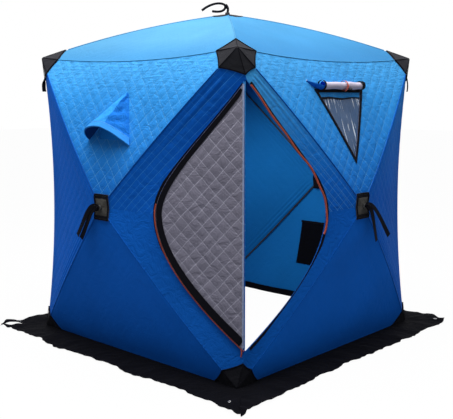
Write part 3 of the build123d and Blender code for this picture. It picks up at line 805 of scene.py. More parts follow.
# %% Openings
window_half_width, window_top, window_point, pane_top = 0.229, 1.594, 1.195, 1.552
window_corners = [(-window_half_width, window_top), (0.0, window_point), (window_half_width, window_top)]
pane_half_width = window_half_width * (pane_top - window_point) / (window_top - window_point)
pane_corners = [(-pane_half_width, pane_top), (0.0, window_point), (pane_half_width, pane_top)]
vent_shift, vent_middle, vent_hole_width, vent_hole_height = -0.016, 1.372, 0.230, 0.105
vent_corners = [
    (vent_shift + 0.5 * vent_hole_width * x, vent_middle + 0.5 * vent_hole_height * z)
    for x, z in ((-1, -0.7), (-0.85, -1), (0.85, -1), (1, -0.7), (1, 0.7), (0.85, 1), (-0.85, 1), (-1, 0.7))
]
print("window opening", pane_corners)

# %% Wall panels
no_side = ((0, "right"), (1, "left"))      # the door's corner has strips instead
for wall, wall_name in enumerate(WALLS):
    opening_shape, calm_shape = (pane_corners, window_corners) if wall % 2 else (vent_corners, vent_corners)
    sewn_panel(f"{wall_name}_upper_cloth", wall_net("upper"), wall, quilted_cloth, 0.0020, 0.012,
               eave_folds if wall % 2 else tip_folds, f"{wall_name}_wall_upper",
               calm=calm_shape, opening=opening_shape)
    sewn_panel(f"{wall_name}_lower_cloth", wall_net("lower"), wall, right_lower_lit if wall == 1 else plain_cloth,
               0.0008, 0.022, slack_folds, f"{wall_name}_wall_lower")
    for side in ("left", "right"):
        if (wall, side) not in no_side:
            sewn_panel(f"{wall_name}_{side}_side_cloth", wall_net(side), wall,
                       right_side_lit if wall == 1 else side_cloth, 0.0016, 0.014, pole_folds,
                       f"{wall_name}_wall_{side}_side")
print("wall panels:", 4 * len(WALLS) - len(no_side))

# %% Roof panels
for wall, wall_name in enumerate(WALLS):
    sewn_panel(f"{wall_name}_roof_cloth", roof_net, wall, roof_shaded if wall == 1 else roof_cloth,
               0.0010, 0.022, slack_folds, f"roof_{wall_name}", flat_axes=(0, 1))
print("roof sewn from four panels")

# %% [markdown]
# ## The door that wraps round the corner
# The door is two half-eye shapes of padded cloth that meet on a straight fold, just
# past the corner. One half stays on the front wall. The other is the flap: it folds
# out over the first and shows its grey lining. Its hinge comes from the joint's data.

# %% Door layout
fold_shift = 0.057
door_bottom = 0.200
door_top = 1.650
door_reach = 0.553
zip_gap = 0.008
joint = next(item for item in frame["record"]["behaviour"]["joints"] if item["name"] == "door_flap_swing")
hinge_place = Vector(joint["pos_m"])
hinge_axis = Vector(joint["axis"]).normalized()
open_turn = -math.radians(joint["range_deg"][1])


def fold_end(height):
    """End of the fold: on the right wall, just past the corner."""
    half = base_half + (top_half - base_half) * height / corner_height
    swell = fold_shift * hub_out / base_half
    return vec(half + swell, -half + fold_shift, height)


fold_foot, fold_head = fold_end(door_bottom), fold_end(door_top)
fold_length = float(np.linalg.norm(fold_head - fold_foot))
fold_way = (fold_head - fold_foot) / fold_length


def door_plane(wall_hub, side):
    """Directions of a door half: from the fold towards the hub, and out of the cloth."""
    reach = wall_hub - fold_foot
    reach = reach - fold_way * np.dot(reach, fold_way)
    reach = reach / np.linalg.norm(reach)
    return reach, np.cross(reach, fold_way) * side


left_way, left_out = door_plane(hub_place, -1)
right_way, right_out = door_plane(turned(hub_place, 1), 1)
belly = fold_length / 2
lower_zip = [(0, 0), (0.52 * door_reach, 0.30 * belly), (door_reach, 0.66 * belly), (door_reach, belly)]
upper_zip = [(door_reach, belly), (door_reach, 1.27 * belly), (0.46 * door_reach, 1.58 * belly), (0, fold_length)]


def zip_flat(share):
    """Flat place of the zip, from the foot of the fold (0) to its head (1)."""
    share = np.asarray(share, dtype=float)
    low = curve_points([vec(*p) for p in lower_zip], np.clip(share * 2, 0, 1))
    high = curve_points([vec(*p) for p in upper_zip], np.clip(share * 2 - 1, 0, 1))
    return np.where((share < 0.5)[:, None], low, high)


def zip_space(points, way):
    """Flat control points of a zip on one side of the fold, placed in space."""
    return [fold_foot + way * x + fold_way * y for x, y in points]


def opened(points):
    """Points drawn on the closed flap, swung out over the fixed half."""
    turn = np.array(Matrix.Rotation(open_turn, 3, hinge_axis))
    pivot = np.array(hinge_place)
    return (np.asarray(points) - pivot) @ turn.T + pivot


print(f"door opening {fold_length:.3f} m tall, {door_reach:.3f} m from fold to zip")

# %% Cloth beside the door
def raised(control):
    """The same quadratic curve with cubic control points."""
    a, b, c = control
    return [a, (a + 2 * b) / 3, (c + 2 * b) / 3, c]


def strip_net(wall, level):
    """Ruled patch from a pole to the zip."""
    pole = pole_line(1 if wall == 0 else -1, "top" if level == "upper" else "base")
    way = left_way if wall == 0 else right_way
    points = upper_zip if level == "upper" else lower_zip[::-1]
    edge = [turned(point, -wall) for point in zip_space(points, way)]
    return [list(pair) for pair in zip(raised(pole), edge)]


def strip_folds(points, u, v, edge_gap):
    """Long folds that run from the corner down beside the pole."""
    high = soft_step(points[:, 2], 1.15, 1.65)
    strength = np.exp(-((u - 0.30) / 0.26) ** 2) * high
    wander = cloud_heights(points, 1.6, 1.4, 4.4)
    return 0.0032 * np.sin(u * 26 + wander) * strength + cloud_heights(points, 3.0, 0.0025, 6.1)


for wall in (0, 1):
    for level in ("upper", "lower"):
        cloth = (front_strip, right_strip_lit)[wall] if level == "upper" else shaded_strip_cloth
        sewn_panel(f"{WALLS[wall]}_door_strip_{level}_cloth", strip_net(wall, level), wall, cloth,
                   0.0014 if level == "upper" else 0.0008, 0.012, strip_folds,
                   f"door_strip_{WALLS[wall]}_{level}", hem=0.020)
print("four strips between the poles and the zip")

# %% [markdown]
# ## Padded door halves
# Each half is quilted wadding between two cloths, so both of its faces are pillowed.
# The sheet is thickened first, and then the inner layer's points are pushed the other
# way by their own padding. A cloth simulation would round the outline; here the seams
# hold it, so pillows are shaped directly.

# %% Door halves
def half_sheet(name, way, normal, outer, inner, relief, folds_height, gap):
    """A padded half-eye in its own plane, closed position."""
    half, u, v = flat_grid(name, 56, 150)
    edge = zip_flat(0.006 + 0.988 * v)
    reach = np.maximum(edge[:, 0] - gap, 0.0)
    flat = np.stack([zip_gap + u * reach, edge[:, 1]], axis=1)
    plane = fold_foot + flat[:, :1] * way + flat[:, 1:] * fold_way
    set_points(half, plane)
    set_flat(half, flat)
    face_outwards(half, normal)
    edge_gap = np.minimum(u, 1 - u) * reach
    rim = zip_flat(np.linspace(0, 1, 200))
    rim_gap = np.sqrt(((flat[:, None, :] - rim[None, :, :]) ** 2).sum(axis=2)).min(axis=1)
    held = soft_step(rim_gap, 0.052, 0.085) * soft_step(u * reach, 0.0, 0.02)
    slack = cloud_heights(plane, 3.5, folds_height, 7.7) * soft_step(np.minimum(edge_gap, rim_gap - 0.05), 0.0, 0.1)
    pillows = padding(flat, relief) * held
    set_points(half, plane + normal * (pillows + slack)[:, None])
    count = len(half.data.vertices)
    wear(half, outer, inner)
    apply_modifier(half, "Thickness", "SOLIDIFY", thickness=fabric, offset=-1.0, use_even_offset=False,
                   material_offset=1, material_offset_rim=0)
    points = get_points(half)
    points[count:2 * count] = plane + normal * (slack - fabric - pillows)[:, None]
    set_points(half, points)
    merge_doubles(half)
    return half


fixed_half = half_sheet("door_fixed_half_cloth", left_way, left_out, quilted_cloth, lining_cloth, 0.0025, 0.002,
                        zip_gap)
smooth(fixed_half)
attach(fixed_half, "shelter")
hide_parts("door_fixed_half")

flap = half_sheet("door_flap_cloth", right_way, right_out, quilted_cloth, grey_lining, 0.0030, 0.007,
                  2.4 * zip_gap)
set_points(flap, opened(get_points(flap)))
smooth(flap)
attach(flap, "door_leaf")
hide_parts("door_flap")
print("flap box:", get_points(flap).min(0).round(3), get_points(flap).max(0).round(3))

# %% [markdown]
# ## Bands, tapes and the coil of the zip
# A band is a narrow sheet that follows a line on the cloth: each of its rows runs from
# the line a little way across. The coil is a thin tube with fine ribs beside it.

# %% Bands and tubes along a line
def band(name, line, across, thickness, material, body="shelter", columns=3):
    """A band from a line (n points) to the line plus across (n vectors)."""
    count = len(line) - 1
    piece, u, v = flat_grid(name, columns, count)
    index = np.rint(v * count).astype(int)
    set_points(piece, line[index] + across[index] * u[:, None])
    set_flat(piece, np.stack([u * np.linalg.norm(across[index], axis=1), run_along(line)[index]], axis=1))
    finish_sheet(piece, material, thickness, offset=0.0, angle=40)
    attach(piece, body)
    return piece


def tube(name, line, radius, material, body="shelter", sides=8):
    """A thin tube along a line of points."""
    curve = bpy.data.curves.new(name, "CURVE")
    curve.dimensions = "3D"
    curve.bevel_depth = radius
    curve.bevel_resolution = max(1, sides // 4)
    curve.use_fill_caps = True
    spline = curve.splines.new("POLY")
    spline.points.add(len(line) - 1)
    spline.points.foreach_set("co", np.column_stack([line, np.ones(len(line))]).ravel())
    piece = bpy.data.objects.new(name, curve)
    bpy.context.scene.collection.objects.link(piece)
    only(piece)
    bpy.ops.object.convert(target="MESH")
    piece = bpy.context.object
    wear(piece, material)
    smooth(piece, 60)
    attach(piece, body)
    return piece


def join(name, pieces):
    """One object from several, which keeps their materials."""
    only(pieces[0])
    for piece in pieces[1:]:
        piece.select_set(True)
    bpy.ops.object.join()
    return rename(bpy.context.object, name)


def twin(piece, name):
    """A copy of a piece under another name."""
    only(piece)
    bpy.ops.object.duplicate()
    return rename(bpy.context.object, name)


# %% Zip materials
def ribbed_material(name, colour, roughness, rib):
    """Coil or webbing: fine ribs across its length."""
    material, tree, shader = new_material(name)
    place = add_node(tree, "TexCoord").outputs["Object"]
    cloudy = add_node(tree, "TexNoise", {"Vector": place, "Scale": 60.0, "Detail": 2.0}).outputs[0]
    x, _, z = parts(tree, place)
    total = math_node(tree, "ADD", z, math_node(tree, "MULTIPLY", x, 0.6))
    waves = math_node(tree, "SINE", math_node(tree, "MULTIPLY", total, 2 * math.pi / rib))
    dark = opaque(part * 0.55 for part in colour)
    feed(tree, shader, {
        "Base Color": mixed(tree, math_node(tree, "MULTIPLY_ADD", cloudy, 1.4, -0.1), dark, opaque(colour)),
        "Roughness": math_node(tree, "MULTIPLY_ADD", cloudy, 0.2, roughness),
        "Normal": bump(tree, 0.6, 0.001, waves),
    })
    return material


orange_coil = ribbed_material("orange_coil", (0.62, 0.085, 0.030), 0.45, 0.003)
# the pale colour of the fold's rounded edge is a painted highlight on the blue cloth turning round the fold
pale_fold_highlight = ribbed_material("pale_fold_highlight", (0.42, 0.52, 0.80), 0.5, 0.002)
pole_rod = ribbed_material("pole_rod", (0.012, 0.012, 0.015), 0.35, 0.05)
moulded_hub = ribbed_material("moulded_hub", (0.018, 0.018, 0.020), 0.5, 0.02)

# %% Band on the flap, and its fold edge painted pale as a highlight
steps = np.linspace(0.0, 1.0, 121)
edge_flat = zip_flat(steps)
flap_width = 0.024 + 0.026 * (1 - steps)
inner_x = np.maximum(edge_flat[:, 0] - 1.8 * zip_gap, 0.010)
heading = unit(np.gradient(edge_flat, axis=0))
inward = np.stack([-heading[:, 1], heading[:, 0]], axis=1)
narrow = np.minimum(1.0, (edge_flat[:, 0] - zip_gap) / 0.05).clip(0.05, 1.0)
lining_out = right_out * -(fabric + 0.0022)
across_flat = inward * (flap_width * narrow)[:, None]
across_flat[:, 0] = np.maximum(across_flat[:, 0], 0.010 - inner_x)
line = fold_foot + inner_x[:, None] * right_way + edge_flat[:, 1:] * fold_way + lining_out
line[:3], line[-3:] = line[3], line[-4]
across = across_flat[:, :1] * right_way + across_flat[:, 1:] * fold_way
flap_band = band("door_flap_edge_band", opened(line), opened(line + across) - opened(line), 0.0022,
                 black_webbing, "door_leaf", columns=6)
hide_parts("door_flap_band")

# the rounded fold edge, a real tube, painted pale as a highlight
fold_edge_height = np.linspace(0.024, fold_length - 0.024, 60)
fold_edge_line = (fold_foot + fold_edge_height[:, None] * fold_way + right_way * (zip_gap + 0.001)
               - right_out * (fabric * 0.55))
fold_highlight = tube("door_fold_highlight", opened(fold_edge_line), 0.0052, pale_fold_highlight, "door_leaf")
print("flap trimmed")

# %% Zip tape and coil round the opening
def strip_edge(wall, share, inset, rise):
    """Points on the cloth beside the zip: inset from its edge, and rise out of it."""
    way, normal = (left_way, left_out) if wall == 0 else (right_way, right_out)
    flat = zip_flat(share)
    ahead = unit(np.gradient(flat, axis=0))
    outward = np.stack([ahead[:, 1], -ahead[:, 0]], axis=1)
    flat = flat + outward * np.asarray(inset)[..., None]
    return fold_foot + flat[:, :1] * way + flat[:, 1:] * fold_way + normal * np.asarray(rise)[..., None]


share = np.linspace(0.012, 0.988, 141)
flat_inset = np.full_like(share, 0.001)
tapes = []
for wall in (0, 1):
    inner_line = strip_edge(wall, share, flat_inset, np.full_like(share, 0.0018))
    outer_line = strip_edge(wall, share, flat_inset + 0.016, np.full_like(share, 0.0020))
    tapes.append(band(f"zip_tape_{wall}", inner_line, outer_line - inner_line, 0.0016, black_webbing))
zip_tapes = join("door_zip_tape", tapes)
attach(zip_tapes, "shelter")
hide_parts("door_zip_tapes")

low_share = np.linspace(0.004, 0.55, 90)
left_coil = tube("door_zip_coil_left", strip_edge(0, low_share, np.full_like(low_share, 0.004),
                 np.full_like(low_share, 0.0062)), 0.0046, orange_coil)
high_share = np.linspace(0.42, 0.985, 120)
sway = 0.006 * np.sin(high_share * 38) * np.sin(high_share * 11) - 0.004
right_coil = tube("door_zip_coil_right", strip_edge(1, high_share, sway, np.full_like(high_share, 0.0102)),
                  0.0054, orange_coil)
pull_at = strip_edge(0, np.array([0.014, 0.018]), np.array([0.004, 0.004]), np.array([0.008, 0.008]))[0]
pull_route = pull_at + np.array([(0, 0, 0), (0.010, -0.008, 0.004), (0.020, -0.008, -0.020), (0.008, -0.008, -0.044)])
pull_line = curve_points(pull_route, np.linspace(0, 1, 16))
pull = tube("zip_pull_cord", pull_line, 0.0038, orange_coil)
left_coil = join("door_zip_coil_left", [left_coil, pull])
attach(left_coil, "shelter")
print("zip coils", len(left_coil.data.vertices), len(right_coil.data.vertices))

# %% [markdown]
# ## Hard pieces that keep their solids
# The poles and hubs are right as they are, and only need their finish.

# %% Finish the solids that stay
for wall_name in WALLS + ("roof",):
    wear(frame["nodes"][f"poles_{wall_name}"], pole_rod)
wear(frame["nodes"]["frame_hubs"], moulded_hub)
print("finished solids: poles and hubs")

# %% [markdown]
# ## Ground skirt
# A loose black cloth lies on the snow all round, to be weighed down. Each side is one
# long sheet with its ends cut to a mitre. Its free edge wanders and lifts in low folds,
# and a narrow hem stands up inside the wall. Grommets for pegs sit near the edge.

# %% Skirt sheets
skirt_width = 0.250
skirt_thickness = 0.0020
corner_reach = ((0.003, 0.027), (0.027, -0.028), (-0.028, -0.012), (-0.012, 0.003))
grommet_places = []


def skirt_edge(wall, across):
    """How far the free edge lies from the wall, and how high it lifts."""
    seed, across = 3.7 * wall + 1.0, np.asarray(across)
    wander = noise_at(across * 2.3, seed, 0.4)
    small = noise_at(across * 9.0, seed, 2.4)
    tiny = noise_at(across * 31.0, seed, 5.4)
    before, after = corner_reach[wall]
    corner = np.where(across < 0, before, after) * soft_step(np.abs(across), 0.88, 1.0)
    return skirt_width - 0.010 + 0.030 * wander + 0.018 * small + 0.010 * tiny + corner


def skirt_sheet(wall):
    """One side of the skirt, with the hole of its grommet."""
    piece, u, v = flat_grid(f"{WALLS[wall]}_skirt_cloth", 170, 22)
    across = 2 * u - 1
    reach = skirt_edge(wall, across) * v
    start = base_half - fabric * 0.5
    ends = skirt_edge(wall, [-1.0, 1.0]) + 0.003
    half_run = start + np.where(across < 0, ends[0], ends[1]) * v
    x = across * half_run
    y = -(start + reach)
    flat = np.stack([x, y], axis=1)
    lift = noise_at(x * 7.0, y * 4.0, 3.1 * wall)
    fold = noise_at(x * 19.0, y * 6.0, 5.3 * wall)
    height = 0.0028 + (0.008 + 0.010 * lift + 0.006 * fold) * soft_step(v, 0.05, 0.7)
    hump = soft_step(np.abs(across), 0.86, 0.98) * soft_step(v, 0.3, 0.9)
    height = np.maximum(height, 0.0022) + 0.016 * hump * (0.5 + fold + 0.5 * np.sin(x * 55 + y * 23))
    height = np.maximum(height, 0.0022)
    set_points(piece, np.stack([x, y, height], axis=1))
    set_flat(piece, flat)
    shape = bmesh.new()
    shape.from_mesh(piece.data)
    wanted = Vector((0.90 * (start + skirt_width), 0.058 - start - skirt_edge(wall, [0.90])[0], 0.01))
    hole = min(shape.faces, key=lambda face: (face.calc_center_median() - wanted).length)
    grommet_places.append(turned(np.array(hole.calc_center_median()), wall))
    bmesh.ops.delete(shape, geom=[hole], context="FACES_ONLY")
    shape.to_mesh(piece.data)
    shape.free()
    face_outwards(piece, vec(0, 0, 1))
    wear(piece, skirt_cloth)
    thicken(piece, skirt_thickness, offset=-1.0)
    points = get_points(piece)
    points[:, 2] = np.maximum(points[:, 2], 0.0)
    set_points(piece, turned(points, wall))
    smooth(piece, 60)
    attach(piece, "shelter")
    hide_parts(f"skirt_{WALLS[wall]}")


def skirt_hem(wall):
    """The narrow upstand of the skirt, sewn to the lining."""
    piece, u, v = flat_grid(f"{WALLS[wall]}_skirt_hem", 90, 4)
    run = base_half - fabric - 0.012
    x = (2 * u - 1) * run
    y = -(base_half - fabric - 0.002) + 0.0015 * np.sin(x * 31)
    z = 0.003 + 0.048 * v + 0.002 * np.sin(x * 13)
    set_points(piece, np.stack([x, y, z], axis=1))
    set_flat(piece, np.stack([x, z], axis=1))
    finish_sheet(piece, skirt_cloth, skirt_thickness, wall=wall, offset=0.0, angle=60)
    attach(piece, "shelter")


for wall in range(4):
    skirt_sheet(wall)
    skirt_hem(wall)
print("skirt laid on four sides")

# %% [markdown]
# ## Covers over the pole pockets
# At each corner a heavy patch is folded over the meeting of the seams and stitched
# down. It is cut as a fan of leaves, one for each cloth that meets there, whose points
# lie on the same curves as the cloth, a little outside it.

# %% Corner covers
cover_eave, cover_ridge, cover_roof, cover_pole = 0.162, 0.144, 0.164, 0.144
foot_edge, foot_ridge, foot_pole = 0.172, 0.136, 0.130
cover_thickness = 0.0030
leaf_hollow = 0.15


def at_distance(control, distance):
    """Point on a curve at a distance from its start."""
    line = curve_points(control, np.linspace(0, 1, 200))
    return np.array([np.interp(distance, run_along(line), line[:, axis]) for axis in range(3)])


def sewn_at(control, distance, wall):
    """The same, carried round to a wall."""
    return turned(at_distance(control, distance), wall)


def leaf(name, corner, first, last):
    """A triangular leaf from a corner to two points, with a gently hollow free edge."""
    piece, u, v = flat_grid(name, 20, 20)
    rim = first * (1 - u)[:, None] + last * u[:, None]
    rim = rim + (corner - (first + last) / 2) * (leaf_hollow * u * (1 - u))[:, None]
    set_points(piece, corner + (rim - corner) * v[:, None])
    length = np.linalg.norm(rim - corner, axis=1) * v
    set_flat(piece, np.stack([(u - 0.5) * 2 * length, length], axis=1))
    return piece


def stitched_cap(name, corner, rim, outward, closed):
    """A fan of leaves made one, lifted off the cloth and given its thickness."""
    ends = rim + rim[:1] if closed else rim
    leaves = [leaf(f"{name}_{index}", corner, first, last)
              for index, (first, last) in enumerate(zip(ends[:-1], ends[1:]))]
    cap = join(name, leaves)
    merge_doubles(cap, 0.0006)
    edit_mesh(cap, bpy.ops.mesh.normals_make_consistent)
    face_outwards(cap, outward)
    points = get_points(cap)
    away = np.linalg.norm(points - corner, axis=1)
    swell = cloud_heights(points, 22.0, 0.0016, 3.9) + 0.0022 * np.exp(-(away / 0.05) ** 2)
    set_points(cap, points + get_normals(cap) * (0.0032 + swell)[:, None])
    return finish_sheet(cap, cover_cloth, cover_thickness)


def cap_trim(name, corner, rim, closed):
    """Binding along a cover's free edge and along the seams between its leaves."""
    def lifted(points):
        away = points - np.append(0.45 * corner[:2], corner[2] - 0.35 if corner[2] > 1 else corner[2])
        return points + unit(away) * 0.0062

    pieces = []
    ends = rim + rim[:1] if closed else rim
    for index, (first, last) in enumerate(zip(ends[:-1], ends[1:])):
        share = np.linspace(0, 1, 14)[:, None]
        edge = first * (1 - share) + last * share + (corner - (first + last) / 2) * leaf_hollow * share * (1 - share)
        edge = corner + (edge - corner) * 0.985
        pieces.append(tube(f"{name}_edge_{index}", lifted(edge), 0.0030, black_webbing))
        seam = corner + (first - corner) * np.linspace(0.04, 0.97, 12)[:, None]
        pieces.append(tube(f"{name}_seam_{index}", lifted(seam), 0.0019, black_webbing))
    return pieces


def guy_tab(corner):
    """A short webbing tab that hangs from a top corner's ridge, for a guy rope."""
    start = at_distance(corner_line(1), cover_ridge - 0.024)
    diagonal = vec(1, -1, 0) / math.sqrt(2)
    route = [start + diagonal * 0.003, start + diagonal * 0.011 - vec(0, 0, 0.030),
             start + diagonal * 0.016 - vec(0, 0, 0.062), start + diagonal * 0.010 - vec(0, 0, 0.092)]
    line = curve_points(route, np.linspace(0, 1, 24))
    turn = (0.0, 0.0, 0.4, 1.35)[corner] * soft_step(np.linspace(0, 1, 24), 0.1, 0.6)[:, None]
    side = (vec(1, 1, 0) / math.sqrt(2) * np.cos(turn) + diagonal * np.sin(turn)) * 0.025
    tab = band(f"guy_tab_{corner}", line - side / 2, side, 0.0022, black_webbing, columns=4)
    set_points(tab, turned(get_points(tab), corner))
    return tab


top_caps, foot_caps = [], []
for corner in range(4):
    after = (corner + 1) % 4
    place = turned(top_corner(1), corner)
    if corner == 0:
        way = fold_head - top_corner(1)
        ridge = top_corner(1) + way * (cover_ridge / np.linalg.norm(way))
    else:
        ridge = sewn_at(corner_line(1), cover_ridge, corner)
    rim = [
        sewn_at(roof_line(1)[::-1], cover_roof, corner),
        sewn_at(eave_line[::-1], cover_eave, corner),
        sewn_at(pole_line(1, "top")[::-1], cover_pole, corner),
        ridge,
        sewn_at(pole_line(-1, "top")[::-1], cover_pole, after),
        sewn_at(eave_line, cover_eave, after),
    ]
    top_caps.append(stitched_cap(f"top_cap_{corner}", place, rim, turned(vec(1, -1, 0.6), corner), True))
    top_caps += cap_trim(f"top_trim_{corner}", place, rim, True)
    if corner:
        top_caps.append(guy_tab(corner))
    place = turned(base_corner(1), corner)
    if corner == 0:
        ridge = base_corner(1) + (fold_foot - base_corner(1)) * (foot_ridge / door_bottom)
    else:
        ridge = sewn_at(corner_line(1)[::-1], foot_ridge, corner)
    rim = [
        turned(base_corner(1) - vec(foot_edge, 0, 0), corner),
        sewn_at(pole_line(1, "base")[::-1], foot_pole, corner),
        ridge,
        sewn_at(pole_line(-1, "base")[::-1], foot_pole, after),
        turned(base_corner(-1) + vec(foot_edge, 0, 0), after),
    ]
    foot_caps.append(stitched_cap(f"foot_cap_{corner}", place, rim, turned(vec(1, -1, 0), corner), False))
    foot_caps += cap_trim(f"foot_trim_{corner}", place, rim, False)
top_cover = join("top_corner_cover", top_caps)
foot_cover = join("foot_corner_cover", foot_caps)
for place in foot_cover.material_slots:
    place.material = foot_cloth if place.material == cover_cloth else place.material
for piece, node in ((top_cover, "top_corner_covers"), (foot_cover, "bottom_corner_covers")):
    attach(piece, "shelter")
    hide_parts(node)
print("corner covers:", len(top_caps), "at the top,", len(foot_caps), "at the foot")

# %% [markdown]
# ## Patches over the hubs
# A rectangle of heavy cloth is sewn over each hub, with a moulded button through it.
# It follows the low pyramid of the wall, so its grid is laid on the wall's own planes.

# %% Places on the upper cloth
def on_cloth(name, x, z, rise=0.0):
    """Points of one of the front wall's panels at places along and up the wall."""
    net = wall_net(name)
    x, z = np.broadcast_arrays(np.asarray(x, dtype=float), np.asarray(z, dtype=float))
    shape, x, z = x.shape, x.ravel(), z.ravel()
    top = corner_height if name == "upper" else base_height
    v = np.clip((z - hub_height) / (top - hub_height), 0.03, 0.99)
    u = np.clip(0.5 + x / (2 * base_half * v), 0.0, 1.0)
    small = 0.0005
    for _ in range(12):
        here = patch_points(net, u, v)
        du = (patch_points(net, u + small, v) - here) / small
        dv = (patch_points(net, u, v + small) - here) / small
        gap_x, gap_z = x - here[:, 0], z - here[:, 2]
        area = du[:, 0] * dv[:, 2] - dv[:, 0] * du[:, 2]
        area = np.where(np.abs(area) < 1e-6, 1e-6, area)
        u = np.clip(u + (gap_x * dv[:, 2] - gap_z * dv[:, 0]) / area, -0.2, 1.2)
        v = np.clip(v + (gap_z * du[:, 0] - gap_x * du[:, 2]) / area, 0.01, 1.1)
    here = patch_points(net, u, v)
    du = patch_points(net, u + small, v) - here
    dv = patch_points(net, u, v + small) - here
    normal = unit(np.cross(du, dv))
    normal = np.where(normal[:, 1:2] > 0, -normal, normal)
    rise = np.broadcast_to(np.asarray(rise, dtype=float), shape).ravel()
    return (here + normal * rise[:, None]).reshape(shape + (3,))


print("cloth above the hub:", on_cloth("upper", 0.0, 1.2).round(3))

# %% Hub patches
patch_half_width, patch_half_height = 0.062, 0.076


def near_hub(x, z):
    """How far out the cloth lies close to the hub: ridges at the poles, hollows between."""
    high = z > hub_height
    across, tall = np.abs(x), np.abs(z - hub_height)
    longer = np.maximum(across, tall)
    skew = np.minimum(across, tall) / np.maximum(longer, 1e-6)
    ridge = np.where(high, 0.159, 0.107)
    hollow = np.where(across > tall, 0.253, np.where(high, 0.267, 0.102))
    return base_half + hub_out - longer * (hollow + (ridge - hollow) * skew)


def hub_sheet(name, cells, wall, depth, facing, material, thickness):
    """A sheet over or behind a hub; depth gives how far out of the cloth it lies."""
    piece, u, v = flat_grid(f"{name}_{wall}", *cells)
    x = (2 * u - 1) * patch_half_width
    z = hub_height + (2 * v - 1) * patch_half_height
    set_points(piece, np.stack([x, -(near_hub(x, z) + depth(x, z)), z], axis=1))
    set_flat(piece, np.stack([x, z - hub_height], axis=1))
    return finish_sheet(piece, material, thickness, vec(0, facing, 0), wall)


def hub_patch(wall):
    """A stitched patch over a hub, dished round its button."""
    def depth(x, z):
        return 0.0052 + cloud_heights(np.stack([x, z, z], axis=1), 30.0, 0.0016, 2.0 * wall)

    return hub_sheet("hub_patch", (26, 30), wall, depth, -1, patch_cloth, 0.003)


def inner_patch(wall):
    """The patch's twin on the lining, behind the hub."""
    return hub_sheet("hub_inner_patch", (20, 28), wall, lambda x, z: -fabric - 0.0050, 1,
                     black_webbing, 0.0025)


def round_button(name, radius, height):
    """A moulded button: a disc, inset and domed."""
    bpy.ops.object.select_all(action="DESELECT")
    bpy.ops.mesh.primitive_cylinder_add(vertices=32, radius=radius, depth=height)
    piece = bpy.context.object
    piece.name = name
    bpy.ops.object.mode_set(mode="EDIT")
    bpy.ops.mesh.select_all(action="DESELECT")
    bpy.ops.object.mode_set(mode="OBJECT")
    for face in piece.data.polygons:
        face.select = face.normal.z > 0.9
    bpy.ops.object.mode_set(mode="EDIT")
    bpy.ops.mesh.inset(thickness=radius * 0.22, depth=height * 0.22)
    bpy.ops.mesh.inset(thickness=radius * 0.40, depth=-height * 0.12)
    bpy.ops.object.mode_set(mode="OBJECT")
    apply_modifier(piece, "Edge", "BEVEL", width=0.0012, segments=2, limit_method="ANGLE")
    wear(piece, moulded_hub)
    smooth(piece, 40)
    return piece


def patch_frame(wall):
    """Bound rim of a hub patch and the bars of tape across its top and foot."""
    def raised_line(x, z):
        return np.stack([x, -(near_hub(x, z + hub_height) + 0.0088), z + hub_height], axis=1)

    half_x, half_z = patch_half_width - 0.004, patch_half_height - 0.004
    share = np.linspace(-1, 1, 26)
    ones = np.ones_like(share)
    sides = [(share * half_x, half_z * ones), (share * half_x, -half_z * ones),
             (half_x * ones, share * half_z), (-half_x * ones, share * half_z)]
    pieces = []
    for index, (x, z) in enumerate(sides):
        pieces.append(tube(f"hub_rim_{wall}_{index}", raised_line(x, z), 0.0040, black_webbing))
    for index, level in enumerate((half_z - 0.008, -half_z + 0.024)):
        x = share * (half_x - 0.002)
        line = raised_line(x, level * ones)
        pieces.append(band(f"hub_bar_{wall}_{index}", line, np.tile(vec(0, 0, -0.015), (26, 1)), 0.0018,
                           black_webbing, columns=3))
    frame_set = join(f"hub_frame_{wall}", pieces)
    set_points(frame_set, turned(get_points(frame_set), wall))
    return frame_set


patches = [maker(wall) for maker in (hub_patch, patch_frame, inner_patch) for wall in range(4)]
buttons = []
for wall in range(4):
    knob = round_button(f"hub_button_{wall}", 0.015, 0.009)
    points = get_points(knob)
    depth = points[:, 2] + base_half + hub_out + 0.0085
    stood = np.stack([points[:, 0], -depth, points[:, 1] + hub_height], axis=1)
    set_points(knob, turned(stood, wall))
    merge_doubles(knob)
    edit_mesh(knob, bpy.ops.mesh.normals_make_consistent)
    buttons.append(knob)
print("patches:", len(patches))

# %% Roof patch and its button
def roof_place(x, y, rise):
    """A place on the roof near its hub."""
    across = np.maximum(np.abs(x), np.abs(y))
    skew = np.minimum(np.abs(x), np.abs(y)) / np.maximum(across, 1e-6)
    fall = across * (0.315 + (0.169 - 0.315) * skew)
    return np.stack([x, y, apex_height - fall + rise], axis=1)


roof_half = 0.070
piece, u, v = flat_grid("roof_patch", 30, 30)
x, y = (2 * u - 1) * roof_half, (2 * v - 1) * roof_half
pucker = cloud_heights(np.stack([x, y, y], axis=1), 30.0, 0.0016, 9.0)
set_points(piece, roof_place(x, y, 0.0052 + pucker))
set_flat(piece, np.stack([x, y], axis=1))
patches.append(finish_sheet(piece, cover_cloth, 0.003, vec(0, 0, 1)))
knob = round_button("roof_button", 0.015, 0.009)
set_points(knob, get_points(knob) + vec(0, 0, apex_height + 0.0085))
buttons.append(knob)

inner_half_width, inner_half_height = 0.037, 0.067
for wall in range(4):
    piece, u, v = flat_grid(f"inner_patch_{wall}", 12, 20)
    x = (2 * u - 1) * inner_half_width
    z = hub_height + (2 * v - 1) * inner_half_height
    sag = cloud_heights(np.stack([x, z, z], axis=1), 18.0, 0.002, wall)
    y = -(base_half + hub_out - 0.0435) + sag + 0.001
    set_points(piece, np.stack([x, y, z], axis=1))
    set_flat(piece, np.stack([x, z], axis=1))
    patches.append(finish_sheet(piece, black_webbing, 0.003, vec(0, 1, 0), wall, offset=1.0))
hub_patches = join("hub_patch_set", patches + buttons)
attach(hub_patches, "shelter")
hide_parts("hub_patches")
print("hub patches and buttons:", len(patches), len(buttons))

